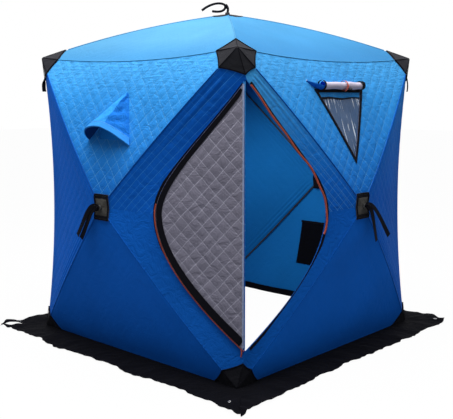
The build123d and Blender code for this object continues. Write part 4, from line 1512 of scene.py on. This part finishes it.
# %% [markdown]
# ## Windows
# Two walls have a three-cornered window. Clear vinyl is laid over the opening, its
# edges are bound with black tape, and a bar of tape crosses it below the rolled flap.
# Tape is cut as flat strips whose ends are mitred, laid along the cloth's own curve.

# %% Window places
def grown(outline, margin):
    """Corners of a convex outline whose sides are all moved outwards by a margin."""
    middle = np.mean(outline, axis=0)
    moved = []
    for index, here in enumerate(outline):
        here, before = np.array(here), np.array(outline[index - 1])
        after = np.array(outline[(index + 1) % len(outline)])
        normals = []
        for start, end in ((before, here), (here, after)):
            way = (end - start) / np.linalg.norm(end - start)
            normal = np.array([way[1], -way[0]])
            normals.append(normal * np.sign((here - middle) @ normal))
        total = normals[0] + normals[1]
        moved.append(here + total * margin / (1 + normals[0] @ normals[1]))
    return moved


def taped_side(name, outer, inner, rise, thickness, material, wobble=0.0):
    """A mitred strip of tape on the upper cloth, between two lines given by their ends."""
    share = np.linspace(0, 1, 44)[:, None]
    lines = []
    for start, end in (outer, inner):
        place = np.array(start) * (1 - share) + np.array(end) * share
        place[:, 1] += wobble * np.sin(share[:, 0] * 9) * np.sin(share[:, 0] * math.pi)
        lines.append(on_cloth("upper", place[:, 0], place[:, 1], rise))
    return band(name, lines[0], lines[1] - lines[0], thickness, material, columns=4)


def window_tape(wall):
    """Binding round a window, its bar, and the pale seam inside it."""
    outer, inner = grown(window_corners, 0.009), grown(window_corners, -0.009)
    seam = grown(window_corners, -0.0125)
    pieces = []
    for index in range(3):
        after = (index + 1) % 3
        pieces.append(taped_side(f"window_tape_{wall}_{index}", (outer[index], outer[after]),
                                 (inner[index], inner[after]), 0.0036, 0.0024, black_webbing))
        if index < 2:
            pieces.append(taped_side(f"window_seam_{wall}_{index}", (inner[index], inner[after]),
                                     (seam[index], seam[after]), 0.0026, 0.0012, seam_tape))
    bar = pane_half_width - 0.006
    pieces.append(taped_side(f"window_bar_{wall}", ((-bar, pane_top + 0.006), (bar, pane_top + 0.003)),
                             ((-bar, pane_top - 0.006), (bar, pane_top - 0.002)), 0.0034, 0.0022,
                             black_webbing, wobble=0.004))
    tape = join(f"window_binding_{WALLS[wall]}", pieces)
    set_points(tape, turned(get_points(tape), wall))
    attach(tape, "shelter")
    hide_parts("window_bindings")


seam_tape = ribbed_material("seam_tape", (0.17, 0.17, 0.26), 0.6, 0.002)
for wall in (1, 3):
    window_tape(wall)
print("window tape on", WALLS[1], WALLS[3])

# %% Clear vinyl
def clear_pane_material():
    """Clear vinyl, a little cloudy, with a bump of drips and scuffs, and pale streaks in its colour that are painted
    highlights.
    """
    material, tree, shader = new_material("clear_vinyl")
    stretch = add_node(tree, "Mapping", {
        "Vector": add_node(tree, "TexCoord").outputs["UV"],
        "Rotation": (0.0, 0.0, math.radians(28)), "Scale": (75.0, 5.0, 1.0)})
    drip = add_node(tree, "TexNoise", {
        "Vector": stretch.outputs[0], "Scale": 1.0, "Detail": 2.0, "Distortion": 0.4}).outputs[0]
    streak_highlight = math_node(tree, "SUBTRACT", 1.0, smooth_mask(tree, drip, 0.60, 0.66))
    feed(tree, shader, {
        "Transmission Weight": 0.45, "IOR": 1.3,
        # the pale streaks mixed into the colour are painted highlights
        "Base Color": mixed(tree, streak_highlight, (0.060, 0.155, 0.32, 1.0), (0.90, 0.95, 1.0, 1.0)),
        "Roughness": math_node(tree, "MULTIPLY_ADD", streak_highlight, 0.25, 0.12),
        "Normal": bump(tree, 0.5, 0.004, drip),
    })
    return material


clear_vinyl = clear_pane_material()
for wall in (1, 3):
    pane, u, v = flat_grid(f"window_pane_{WALLS[wall]}", 34, 34)
    z = window_point - 0.006 + v * (pane_top + 0.008 - window_point)
    x = (2 * u - 1) * (0.004 + pane_half_width * v)
    hold = np.minimum(np.minimum(u, 1 - u), 1 - v) * 4
    slack = cloud_heights(np.stack([x, z, z], axis=1), 9.0, 0.004, 6.0 + wall) * soft_step(hold, 0, 1)
    set_points(pane, on_cloth("upper", x, z, 0.0012 + slack - 0.002 * soft_step(hold, 0, 1)))
    set_flat(pane, np.stack([x, z], axis=1))
    merge_doubles(pane)
    finish_sheet(pane, clear_vinyl, 0.0007, vec(0, -1, 0), wall, angle=60)
    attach(pane, "shelter")
    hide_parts("window_panes")
print("clear panes laid over both openings")

# %% [markdown]
# ## The rolled blackout flap
# Inside out, the flap shows its pale lining when it is rolled up. It is a long sheet
# wound on a spiral, so its ends show the turns. A red elastic tie with a toggle holds
# it, its ends are bound in black, and one loose corner trails on to the wall.

# %% Flap roll
roll_height = window_top + 0.032
roll_seat = on_cloth("upper", 0.0, roll_height - 0.0081, 0.0015)[1]
roll_middle = vec(0, roll_seat - 0.027, roll_height)
roll_left, roll_right, roll_turns = -0.196, 0.218, 2.5
tie_place = 0.030


def roll_points(x, angle, radius):
    """Points round the roll: angle 0 is at the wall, and grows down and to the front."""
    pinch = 1 - 0.09 * np.exp(-((x - tie_place) / 0.022) ** 2)
    sag = 0.0016 * np.sin(x * 21) + 0.0012 * np.sin(x * 47 + angle)
    reach = radius * pinch + sag * (radius > 0.015)
    return np.stack([x, roll_middle[1] + reach * np.cos(angle), roll_height - reach * np.sin(angle)], axis=1)


def roll_sheet():
    """The flap wound from its outer turn to its core, narrower towards the core."""
    piece, u, v = flat_grid("flap_roll_sheet", 46, 130)
    left = roll_left + 0.030 * v
    right = roll_right - 0.045 * v
    x = left + (right - left) * u
    angle = -0.3 + v * 2 * math.pi * roll_turns
    radius = 0.0245 - 0.0150 * v
    set_points(piece, roll_points(x, angle, radius))
    set_flat(piece, np.stack([x, v * 0.26], axis=1))
    face_outwards(piece, vec(0, -0.001, 0))
    middle_row = np.abs(v - 0.1) < 0.02
    outside = (get_normals(piece)[middle_row] * (get_points(piece)[middle_row] - roll_middle)).sum()
    if outside < 0:
        edit_mesh(piece, bpy.ops.mesh.flip_normals)
    wear(piece, roll_lining, side_cloth)
    thicken(piece, 0.0036, inner_slot=1, rim_slot=1)
    smooth(piece)
    return piece


def roll_ring(name, start, end, radius, thickness, material, slant=0.0):
    """A band round the roll between two places along it."""
    angle = np.linspace(-0.1, 2 * math.pi - 0.25, 60)
    near = roll_points(np.full_like(angle, start), angle, np.full_like(angle, radius))
    far = roll_points(end + slant * np.sin(angle), angle, np.full_like(angle, radius))
    return band(name, near, far - near, thickness, material, columns=6)


tie_red = ribbed_material("tie_red", (0.66, 0.12, 0.075), 0.55, 0.002)
roll_pieces = [
    roll_sheet(),
    roll_ring("roll_end_left", roll_left - 0.001, roll_left + 0.012, 0.0262, 0.0020, black_webbing, 0.003),
    roll_ring("roll_end_right", roll_right + 0.001, roll_right - 0.024, 0.0262, 0.0020, black_webbing, 0.009),
    roll_ring("roll_tie", tie_place - 0.0042, tie_place + 0.0042, 0.0290, 0.0016, tie_red),
]
tail_line = curve_points([
    vec(tie_place, roll_middle[1] - 0.027, roll_height + 0.006),
    vec(tie_place - 0.002, roll_middle[1] - 0.036, roll_height - 0.010),
    vec(tie_place - 0.024, roll_middle[1] - 0.024, roll_height - 0.034),
], np.linspace(0, 1, 14))
roll_pieces.append(band("roll_tie_tail", tail_line, np.tile(vec(0.010, 0, 0.001), (14, 1)), 0.0018, tie_red))
print("roll", [len(piece.data.vertices) for piece in roll_pieces])

# %% Toggle and loose corner of the flap
def toggle():
    """A small moulded toggle: a bar, waisted by a scale of its middle."""
    bpy.ops.object.select_all(action="DESELECT")
    bpy.ops.mesh.primitive_cylinder_add(vertices=20, radius=0.0055, depth=0.030)
    piece = bpy.context.object
    piece.name = "roll_toggle"
    for height in (0.004, -0.004):
        edit_mesh(piece, lambda: bpy.ops.mesh.bisect(plane_co=(0, 0, height), plane_no=(0, 0, 1)))
    points = get_points(piece)
    waist = np.abs(points[:, 2]) < 0.006
    points[waist, :2] *= 0.7
    turned_points = np.stack([points[:, 2], points[:, 0], points[:, 1]], axis=1)
    set_points(piece, turned_points + vec(tie_place + 0.030, roll_middle[1] - 0.024, roll_height - 0.019))
    apply_modifier(piece, "Edge", "BEVEL", width=0.0012, segments=2, limit_method="ANGLE")
    wear(piece, moulded_hub)
    smooth(piece, 40)
    return piece


def loose_corner():
    """The flap's corner: it runs from the roll's end out to a point on the wall."""
    piece, u, v = flat_grid("flap_corner", 24, 30)
    tip = on_cloth("upper", -0.300, 1.650, 0.004)
    angle = 0.10 * math.pi + u * 0.85 * math.pi
    mouth = roll_points(np.full_like(u, roll_left + 0.004), angle, np.full_like(u, 0.0235))
    bow = (4 * v * (1 - v) * 0.010)[:, None] * vec(0, 0.2, -1)
    set_points(piece, tip * (1 - v)[:, None] + mouth * v[:, None] + bow * (1 - u)[:, None])
    set_flat(piece, np.stack([u * 0.06, v * 0.12], axis=1))
    merge_doubles(piece)
    face_outwards(piece, vec(0, 0.3, 1))
    wear(piece, front_strip)
    thicken(piece, 0.0030)
    smooth(piece)
    share = np.linspace(0, 1, 30)
    lip = roll_points(np.full(1, roll_left + 0.004), np.full(1, 0.10 * math.pi), np.full(1, 0.0235))[0]
    hang = (4 * share * (1 - share) * 0.010)[:, None] * vec(0, 0.2, -1)
    edge_line = tip * (1 - share)[:, None] + lip * share[:, None] + hang
    edge = tube("flap_corner_edge", edge_line, 0.0030, roll_lining)
    dark_edge = tube("flap_corner_binding", edge_line - vec(0, 0, 0.0058), 0.0030, black_webbing)
    return [piece, edge, dark_edge]


roll_pieces += [toggle()] + loose_corner()
roll = join("flap_roll_right", roll_pieces)
merge_doubles(roll, 0.00002)
roll_copy = twin(roll, "flap_roll_left")
for piece, wall in ((roll, 1), (roll_copy, 3)):
    set_points(piece, turned(get_points(piece), wall))
    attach(piece, "shelter")
    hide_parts("window_flap_rolls")
print("flap rolls:", roll.name, roll_copy.name)

# %% [markdown]
# ## Vent hoods
# A gusset of cloth stands off the wall over each vent, its mouth open downwards. It is
# a patch from a point on the wall to an arched mouth, pushed out into folds, with a
# turned-up rim. The wall behind it has a real opening.

# %% Hood shape
hood_half_width, hood_tip_shift, hood_tip_height = 0.188, 0.045, 1.598
hood_left_height, hood_right_height, hood_bulge, hood_mouth_height = 1.312, 1.290, 0.090, 1.418
hood_swell = 0.014


def hood_control(start, end):
    """Middle control point of a hood edge that follows the cloth."""
    seat = on_cloth("upper", (start[0] + end[0]) / 2, (start[2] + end[2]) / 2, 0.0012)
    return seat * 2 - (start + end) / 2


hood_left = on_cloth("upper", vent_shift - hood_half_width, hood_left_height, 0.0012)
hood_right = on_cloth("upper", vent_shift + hood_half_width, hood_right_height, 0.0012)
hood_tip = on_cloth("upper", hood_tip_shift, hood_tip_height, 0.0012)
hood_crown = min(hood_left[1], hood_right[1]) - hood_bulge * 4 / 3
shoulder = 0.30 * hood_half_width
hood_mouth = [
    hood_left,
    vec(hood_left[0] + 0.1 * shoulder, hood_crown, hood_mouth_height),
    vec(hood_right[0] - 0.6 * shoulder, hood_crown, hood_mouth_height + 0.5 * shoulder),
    hood_right,
]
hood_middle = [
    hood_control(hood_tip, hood_left),
    (hood_tip + hood_mouth[1]) / 2 - vec(0, hood_swell, 0),
    (hood_tip + hood_mouth[2]) / 2 - vec(0, hood_swell, 0),
    hood_control(hood_tip, hood_right),
]
hood_net = [[hood_tip] * 4, hood_middle, hood_mouth]
print("hood mouth", hood_mouth[0].round(3), "to", hood_mouth[3].round(3))


def hood_folds(u, v):
    """Folds of the hood: sharp creases on one side, soft dents on the other."""
    edge = soft_step(np.minimum(u, 1 - u), 0.0, 0.12) * soft_step(v, 0.0, 0.15)
    creased = soft_step(u, 0.50, 0.70) * (1 - soft_step(v, 0.78, 0.86))
    run = 26 * v + 6 * u + 1.6 * np.sin(9 * u)
    place = np.stack([u * 3, v * 3, u * v], axis=1)
    hollow = np.sin(math.pi * np.clip((u - 0.58) / 0.42, 0, 1)) * v * (2 - v)
    return edge * (0.0038 * np.sin(run) * creased + cloud_heights(place, 1.6, 0.007, 4.0)) - 0.024 * hollow


def hood_cloth():
    """The hood's sheet, folded, with painted shade on its right side: a darker blue there."""
    piece, u, v = flat_grid("vent_hood_sheet", 70, 60)
    points = patch_points(hood_net, u, v)
    set_points(piece, points)
    set_flat(piece, points[:, (0, 2)])
    merge_doubles(piece)
    face_outwards(piece, vec(0, -1, 0.4))
    u_kept, v_kept = hood_shares(piece)
    set_points(piece, get_points(piece) + get_normals(piece) * hood_folds(u_kept, v_kept)[:, None])
    wear(piece, hood_blue, hood_inside_shaded, hood_shaded, hood_inside_shaded)
    # faces on the right side take the darker blue: painted shade
    for face in piece.data.polygons:
        if u_kept[list(face.vertices)].mean() > 0.60:
            face.material_index = 2
    thicken(piece, 0.004, inner_slot=1)
    smooth(piece)
    return piece


def hood_shares(piece):
    """Shares across and down of the hood's vertices, the nearest of a fine table."""
    share = np.linspace(0, 1, 241)
    u, v = (grid.ravel() for grid in np.meshgrid(share, share))
    table = patch_points(hood_net, u, v)
    nearest = [int(np.argmin(((table - point) ** 2).sum(axis=1))) for point in get_points(piece)]
    return u[nearest], v[nearest]


def hood_rim():
    """The turned-up rim of the mouth, its rolled edge and its row of stitches."""
    across = np.linspace(0.012, 0.988, 90)
    outer = patch_points(hood_net, across, np.full_like(across, 1.0))
    inner = patch_points(hood_net, across, np.full_like(across, 0.87))
    away = unit(np.cross(np.gradient(outer, axis=0), inner - outer))
    away = away * np.sign((away * vec(0, -1, 0.2)).sum(axis=1).mean())
    hollow = np.sin(math.pi * np.clip((across - 0.58) / 0.42, 0, 1))[:, None]
    outer, inner = outer - 0.024 * hollow * away, inner - 0.0236 * hollow * away
    rim = band("vent_rim", outer + away * 0.0034, inner - outer, 0.0028, rim_blue, columns=8)
    edge = tube("vent_rim_edge", outer + away * 0.0010, 0.0040, rim_blue)
    stitches = tube("vent_rim_stitch", inner + (outer - inner) * 0.14 + away * 0.0052, 0.0010, hood_thread, sides=4)
    return [rim, edge, stitches]


# the hood takes the upper wall's painted light by height
hood_blue = cloth_material("hood_blue", (0.026, 0.26, 0.74), (0.16, 0.52, 0.92), quilted=0.25, crease=0.9,
                           painted_light_tones=upper_painted_light)
# the hood's inner face is a much darker blue than the wall's lining: painted shade under the hood
hood_inside_shaded = cloth_material("hood_inside_shaded", (0.003, 0.045, 0.19), (0.05, 0.2, 0.5), quilted=0.0, crease=0.5)
# a darker copy of the hood's blue for its right side: painted shade
hood_shaded = cloth_material("hood_shaded", (0.012, 0.175, 0.62), (0.10, 0.42, 0.9), quilted=0.2, crease=1.0,
                           crease_scale=22.0)
hood_thread = ribbed_material("hood_thread", (0.12, 0.45, 0.85), 0.6, 0.004)
rim_blue = cloth_material("rim_blue", (0.040, 0.29, 0.78), (0.16, 0.52, 0.92), quilted=0.0, crease=0.5)
print("hood materials:", hood_blue.name, rim_blue.name)

# %% Hoods on the front and back walls
hood = join("vent_hood_front", [hood_cloth()] + hood_rim())
for piece, wall in ((hood, 0), (twin(hood, "vent_hood_back"), 2)):
    set_points(piece, turned(get_points(piece), wall))
    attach(piece, "shelter")
    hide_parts("vent_hoods")
print("hoods over the vents")

# %% [markdown]
# ## Pull straps
# Each hub has two tails of flat webbing, knotted through the button, to pull the wall
# out. A tail is a band along a curve. The knot is a tube along a knotted line. The
# roof's strap is stiffer, and stands up in a loop.

# %% Straps
strap_width, strap_thickness = 0.029, 0.0024


def webbing_tail(name, route, facing, width, thickness, twist=0.0):
    """Flat webbing along control points, its face turned towards a direction."""
    share = np.linspace(0, 1, 44)
    line = curve_points(route, share)
    ahead = unit(np.gradient(line, axis=0))
    side = unit(np.cross(ahead, facing))
    lean = np.cross(side, ahead)
    turn = twist * np.sin(share * math.pi * 1.5)[:, None]
    side = side * np.cos(turn) + lean * np.sin(turn)
    return band(name, line - side * width / 2, side * width, thickness, black_webbing, columns=4)


def knot_line(middle, size, flatness):
    """A trefoil line about a place on the front wall."""
    t = np.linspace(0, 2 * math.pi, 90)
    x = np.sin(t) + 2 * np.sin(2 * t)
    z = np.cos(t) - 2 * np.cos(2 * t)
    return middle + np.stack([x * size, -np.sin(3 * t) * flatness, z * size], axis=1)


hub_face = base_half + hub_out + 0.0116


def tail_route(*places):
    """Control points of a tail: along the wall, out from the hub's face, and up."""
    return [vec(x, -hub_face - away, z) for x, away, z in places]


steep = tail_route((0.004, 0.005, 0.932), (0.052, 0.012, 0.958), (0.052, 0.026, 0.860), (0.104, 0.024, 0.716))
wide = tail_route((0.004, 0.005, 0.936), (0.070, 0.016, 0.966), (0.120, 0.034, 0.850), (0.232, 0.030, 0.733))
upper_tail = tail_route((-0.004, 0.005, 0.936), (-0.072, 0.018, 0.972), (-0.100, 0.032, 0.850),
                        (-0.182, 0.026, 0.754))
lower_tail = tail_route((-0.004, 0.005, 0.928), (-0.056, 0.010, 0.952), (-0.078, 0.024, 0.838),
                        (-0.156, 0.020, 0.738))
knots = []
for wall in range(4):
    routes = (upper_tail, lower_tail) if wall % 2 == 0 else (wide, steep)
    for index, route in enumerate(routes):
        tail = webbing_tail(f"hub_tail_{WALLS[wall]}_{index}", route, vec(0, 1, 0), strap_width,
                            strap_thickness, twist=0.15 - 0.3 * index)
        set_points(tail, turned(get_points(tail), wall))
        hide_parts("hub_pull_straps")
    lean = -1 if wall % 2 == 0 else 1
    knot = tube(f"hub_knot_{wall}", knot_line(vec(lean * 0.012, -hub_face - 0.010, 0.934), 0.0055, 0.006),
                0.0048, black_webbing)
    set_points(knot, turned(get_points(knot), wall))
    knots.append(knot)
knot_set = join("hub_knots", knots)
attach(knot_set, "shelter")
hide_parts("hub_pull_straps")
print("hub straps: eight tails and four knots")

# %% Roof strap
roof_foot = apex_height + 0.011
roof_strap_width = 0.0135
lean = vec(-0.74, -0.67, 0)
high = vec(0, 0, 1)
toward = np.cross(lean, high)


def roof_route(places):
    return [vec(0, 0, roof_foot) + lean * across + high * rise for across, rise in places]


roof_tails = (
    ("roof_tail_long", [(0.006, 0.036), (0.020, 0.072), (0.100, 0.070), (0.166, 0.016)]),
    ("roof_tail_short", [(0.012, 0.040), (0.020, 0.006), (0.060, 0.006), (0.100, 0.012)]),
)
for name, places in roof_tails:
    route = roof_route(places)
    tail = webbing_tail(name, route, toward, roof_strap_width, 0.0060, twist=0.2)
    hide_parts("roof_pull_strap")
stalk = webbing_tail("roof_stalk", roof_route([(0.0, 0.0), (-0.004, 0.016), (-0.008, 0.036), (0.012, 0.052)]),
                     toward, 0.0150, 0.0070)
roof_knot_line = knot_line(vec(0, 0, 0), 0.0036, 0.004)
roof_knot = tube("roof_knot_wrap", roof_knot_line + vec(0, 0, roof_foot + 0.040) + lean * 0.012, 0.0042,
                 black_webbing)
turn = np.linspace(0, 6.2, 20)
seat_line = np.stack([0.006 * np.cos(turn), 0.006 * np.sin(turn), np.full(20, 0.002)], axis=1)
roof_seat = tube("roof_seat", vec(0, 0, roof_foot) + seat_line, 0.0036, black_webbing)
roof_knot = join("roof_knot", [roof_knot, stalk, roof_seat])
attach(roof_knot, "shelter")
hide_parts("roof_pull_strap")
print("roof strap stands", round(float(get_points(roof_knot)[:, 2].max() - apex_height), 3), "m above the roof")

# %% [markdown]
# ## Inner pocket
# A flat pocket hangs on the lining of the back wall, seen through the open door. Its
# face is a sheet held round three sides and slack along its top, which is bound.

# %% Pocket
pocket_half, pocket_low, pocket_high = 0.133, 0.264, 0.598
piece, u, v = flat_grid("inner_pocket_cloth", 30, 36)
x = (2 * u - 1) * pocket_half
z = pocket_low + v * (pocket_high - pocket_low)
edge = soft_step(np.minimum(u, 1 - u) * 2 * pocket_half, 0.0, 0.05) * soft_step(v * 0.334, 0.0, 0.06)
bag = 0.0030 + 0.0075 * edge * (0.75 + 0.25 * np.sin(u * 17)) + 0.0008 * np.sin(v * 23)
set_points(piece, on_cloth("lower", x, z, -(fabric + bag)))
set_flat(piece, np.stack([x, z], axis=1))
finish_sheet(piece, skirt_cloth, 0.0015, vec(0, 1, 0), angle=50)
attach(piece, "shelter")
top = on_cloth("lower", (2 * np.linspace(0, 1, 40) - 1) * pocket_half, np.full(40, pocket_high - 0.016),
               -(fabric + 0.0125))
lip = band("inner_pocket_lip", top, np.tile(vec(0, 0, 0.018), (40, 1)), 0.0022, black_webbing, columns=4)
pocket = join("inner_pocket_set", [piece, lip])
set_points(pocket, turned(get_points(pocket), 2))
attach(pocket, "shelter")
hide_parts("inner_pocket")
print("pocket sewn to the back wall's lining")

# %% [markdown]
# ## Raised seams
# Where two cloths meet over a pole their edges are folded together into a seam that
# stands a little proud, and the eave seam is taped in a darker blue.

# %% Seams
def seam_line(name, control, wall, radius, material, ends):
    """A tube along a seam, a little proud of it."""
    line = curve_points(control, np.linspace(ends[0], ends[1], 70))
    away = line - vec(0, 0, 1.0)
    return tube(name, turned(line + unit(away) * radius * 0.4, wall), radius, material)


seam_blue = cloth_material("seam_blue", (0.006, 0.105, 0.47), (0.1, 0.4, 0.9), quilted=0.0, crease=0.4)
eave_blue = cloth_material("eave_blue", (0.07, 0.32, 0.60), (0.1, 0.4, 0.9), quilted=0.0, crease=0.4)
seams = []
for wall in range(4):
    seams.append(seam_line(f"eave_seam_{wall}", eave_line, wall, 0.0028, eave_blue, (0.09, 0.91)))
    for side in (-1, 1):
        for level, radius, material, end in (("top", 0.0032, seam_blue, 0.88), ("base", 0.0024, shaded_strip_cloth, 0.91)):
            seams.append(seam_line(f"pole_seam_{wall}_{side}_{level}", pole_line(side, level), wall, radius,
                                   material, (0.06, end)))
    seams.append(seam_line(f"roof_seam_{wall}", roof_line(1), wall, 0.0030, roof_cloth, (0.08, 0.86)))
seam_set = join("raised_seams", seams)
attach(seam_set, "shelter")
print("seams:", len(seams))

# %% Grommets in the skirt
def grommet(place):
    """A flattened ring at a place on the skirt."""
    bpy.ops.object.select_all(action="DESELECT")
    bpy.ops.mesh.primitive_torus_add(major_segments=28, minor_segments=8,
                                     major_radius=0.0100, minor_radius=0.0028)
    piece = bpy.context.object
    points = get_points(piece)
    points[:, 2] *= 0.45
    set_points(piece, points + place)
    wear(piece, grommet_metal)
    smooth(piece, 60)
    return piece


def grommet_material():
    """Dulled steel, scratched."""
    material, tree, shader = new_material("grommet_metal")
    place = add_node(tree, "TexCoord").outputs["Object"]
    scratch = add_node(tree, "TexNoise", {"Vector": place, "Scale": 180.0, "Detail": 3.0}).outputs[0]
    feed(tree, shader, {
        "Metallic": 1.0,
        "Base Color": mixed(tree, scratch, (0.20, 0.20, 0.21, 1.0), (0.48, 0.48, 0.50, 1.0)),
        "Roughness": math_node(tree, "MULTIPLY_ADD", scratch, 0.3, 0.2),
    })
    return material


grommet_metal = grommet_material()
grommets = join("grommets", [grommet(place + vec(0, 0, 0.0008)) for place in grommet_places])
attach(grommets, "shelter")
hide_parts(*[f"skirt_{wall_name}" for wall_name in WALLS])
print("grommets:", len(grommet_places))
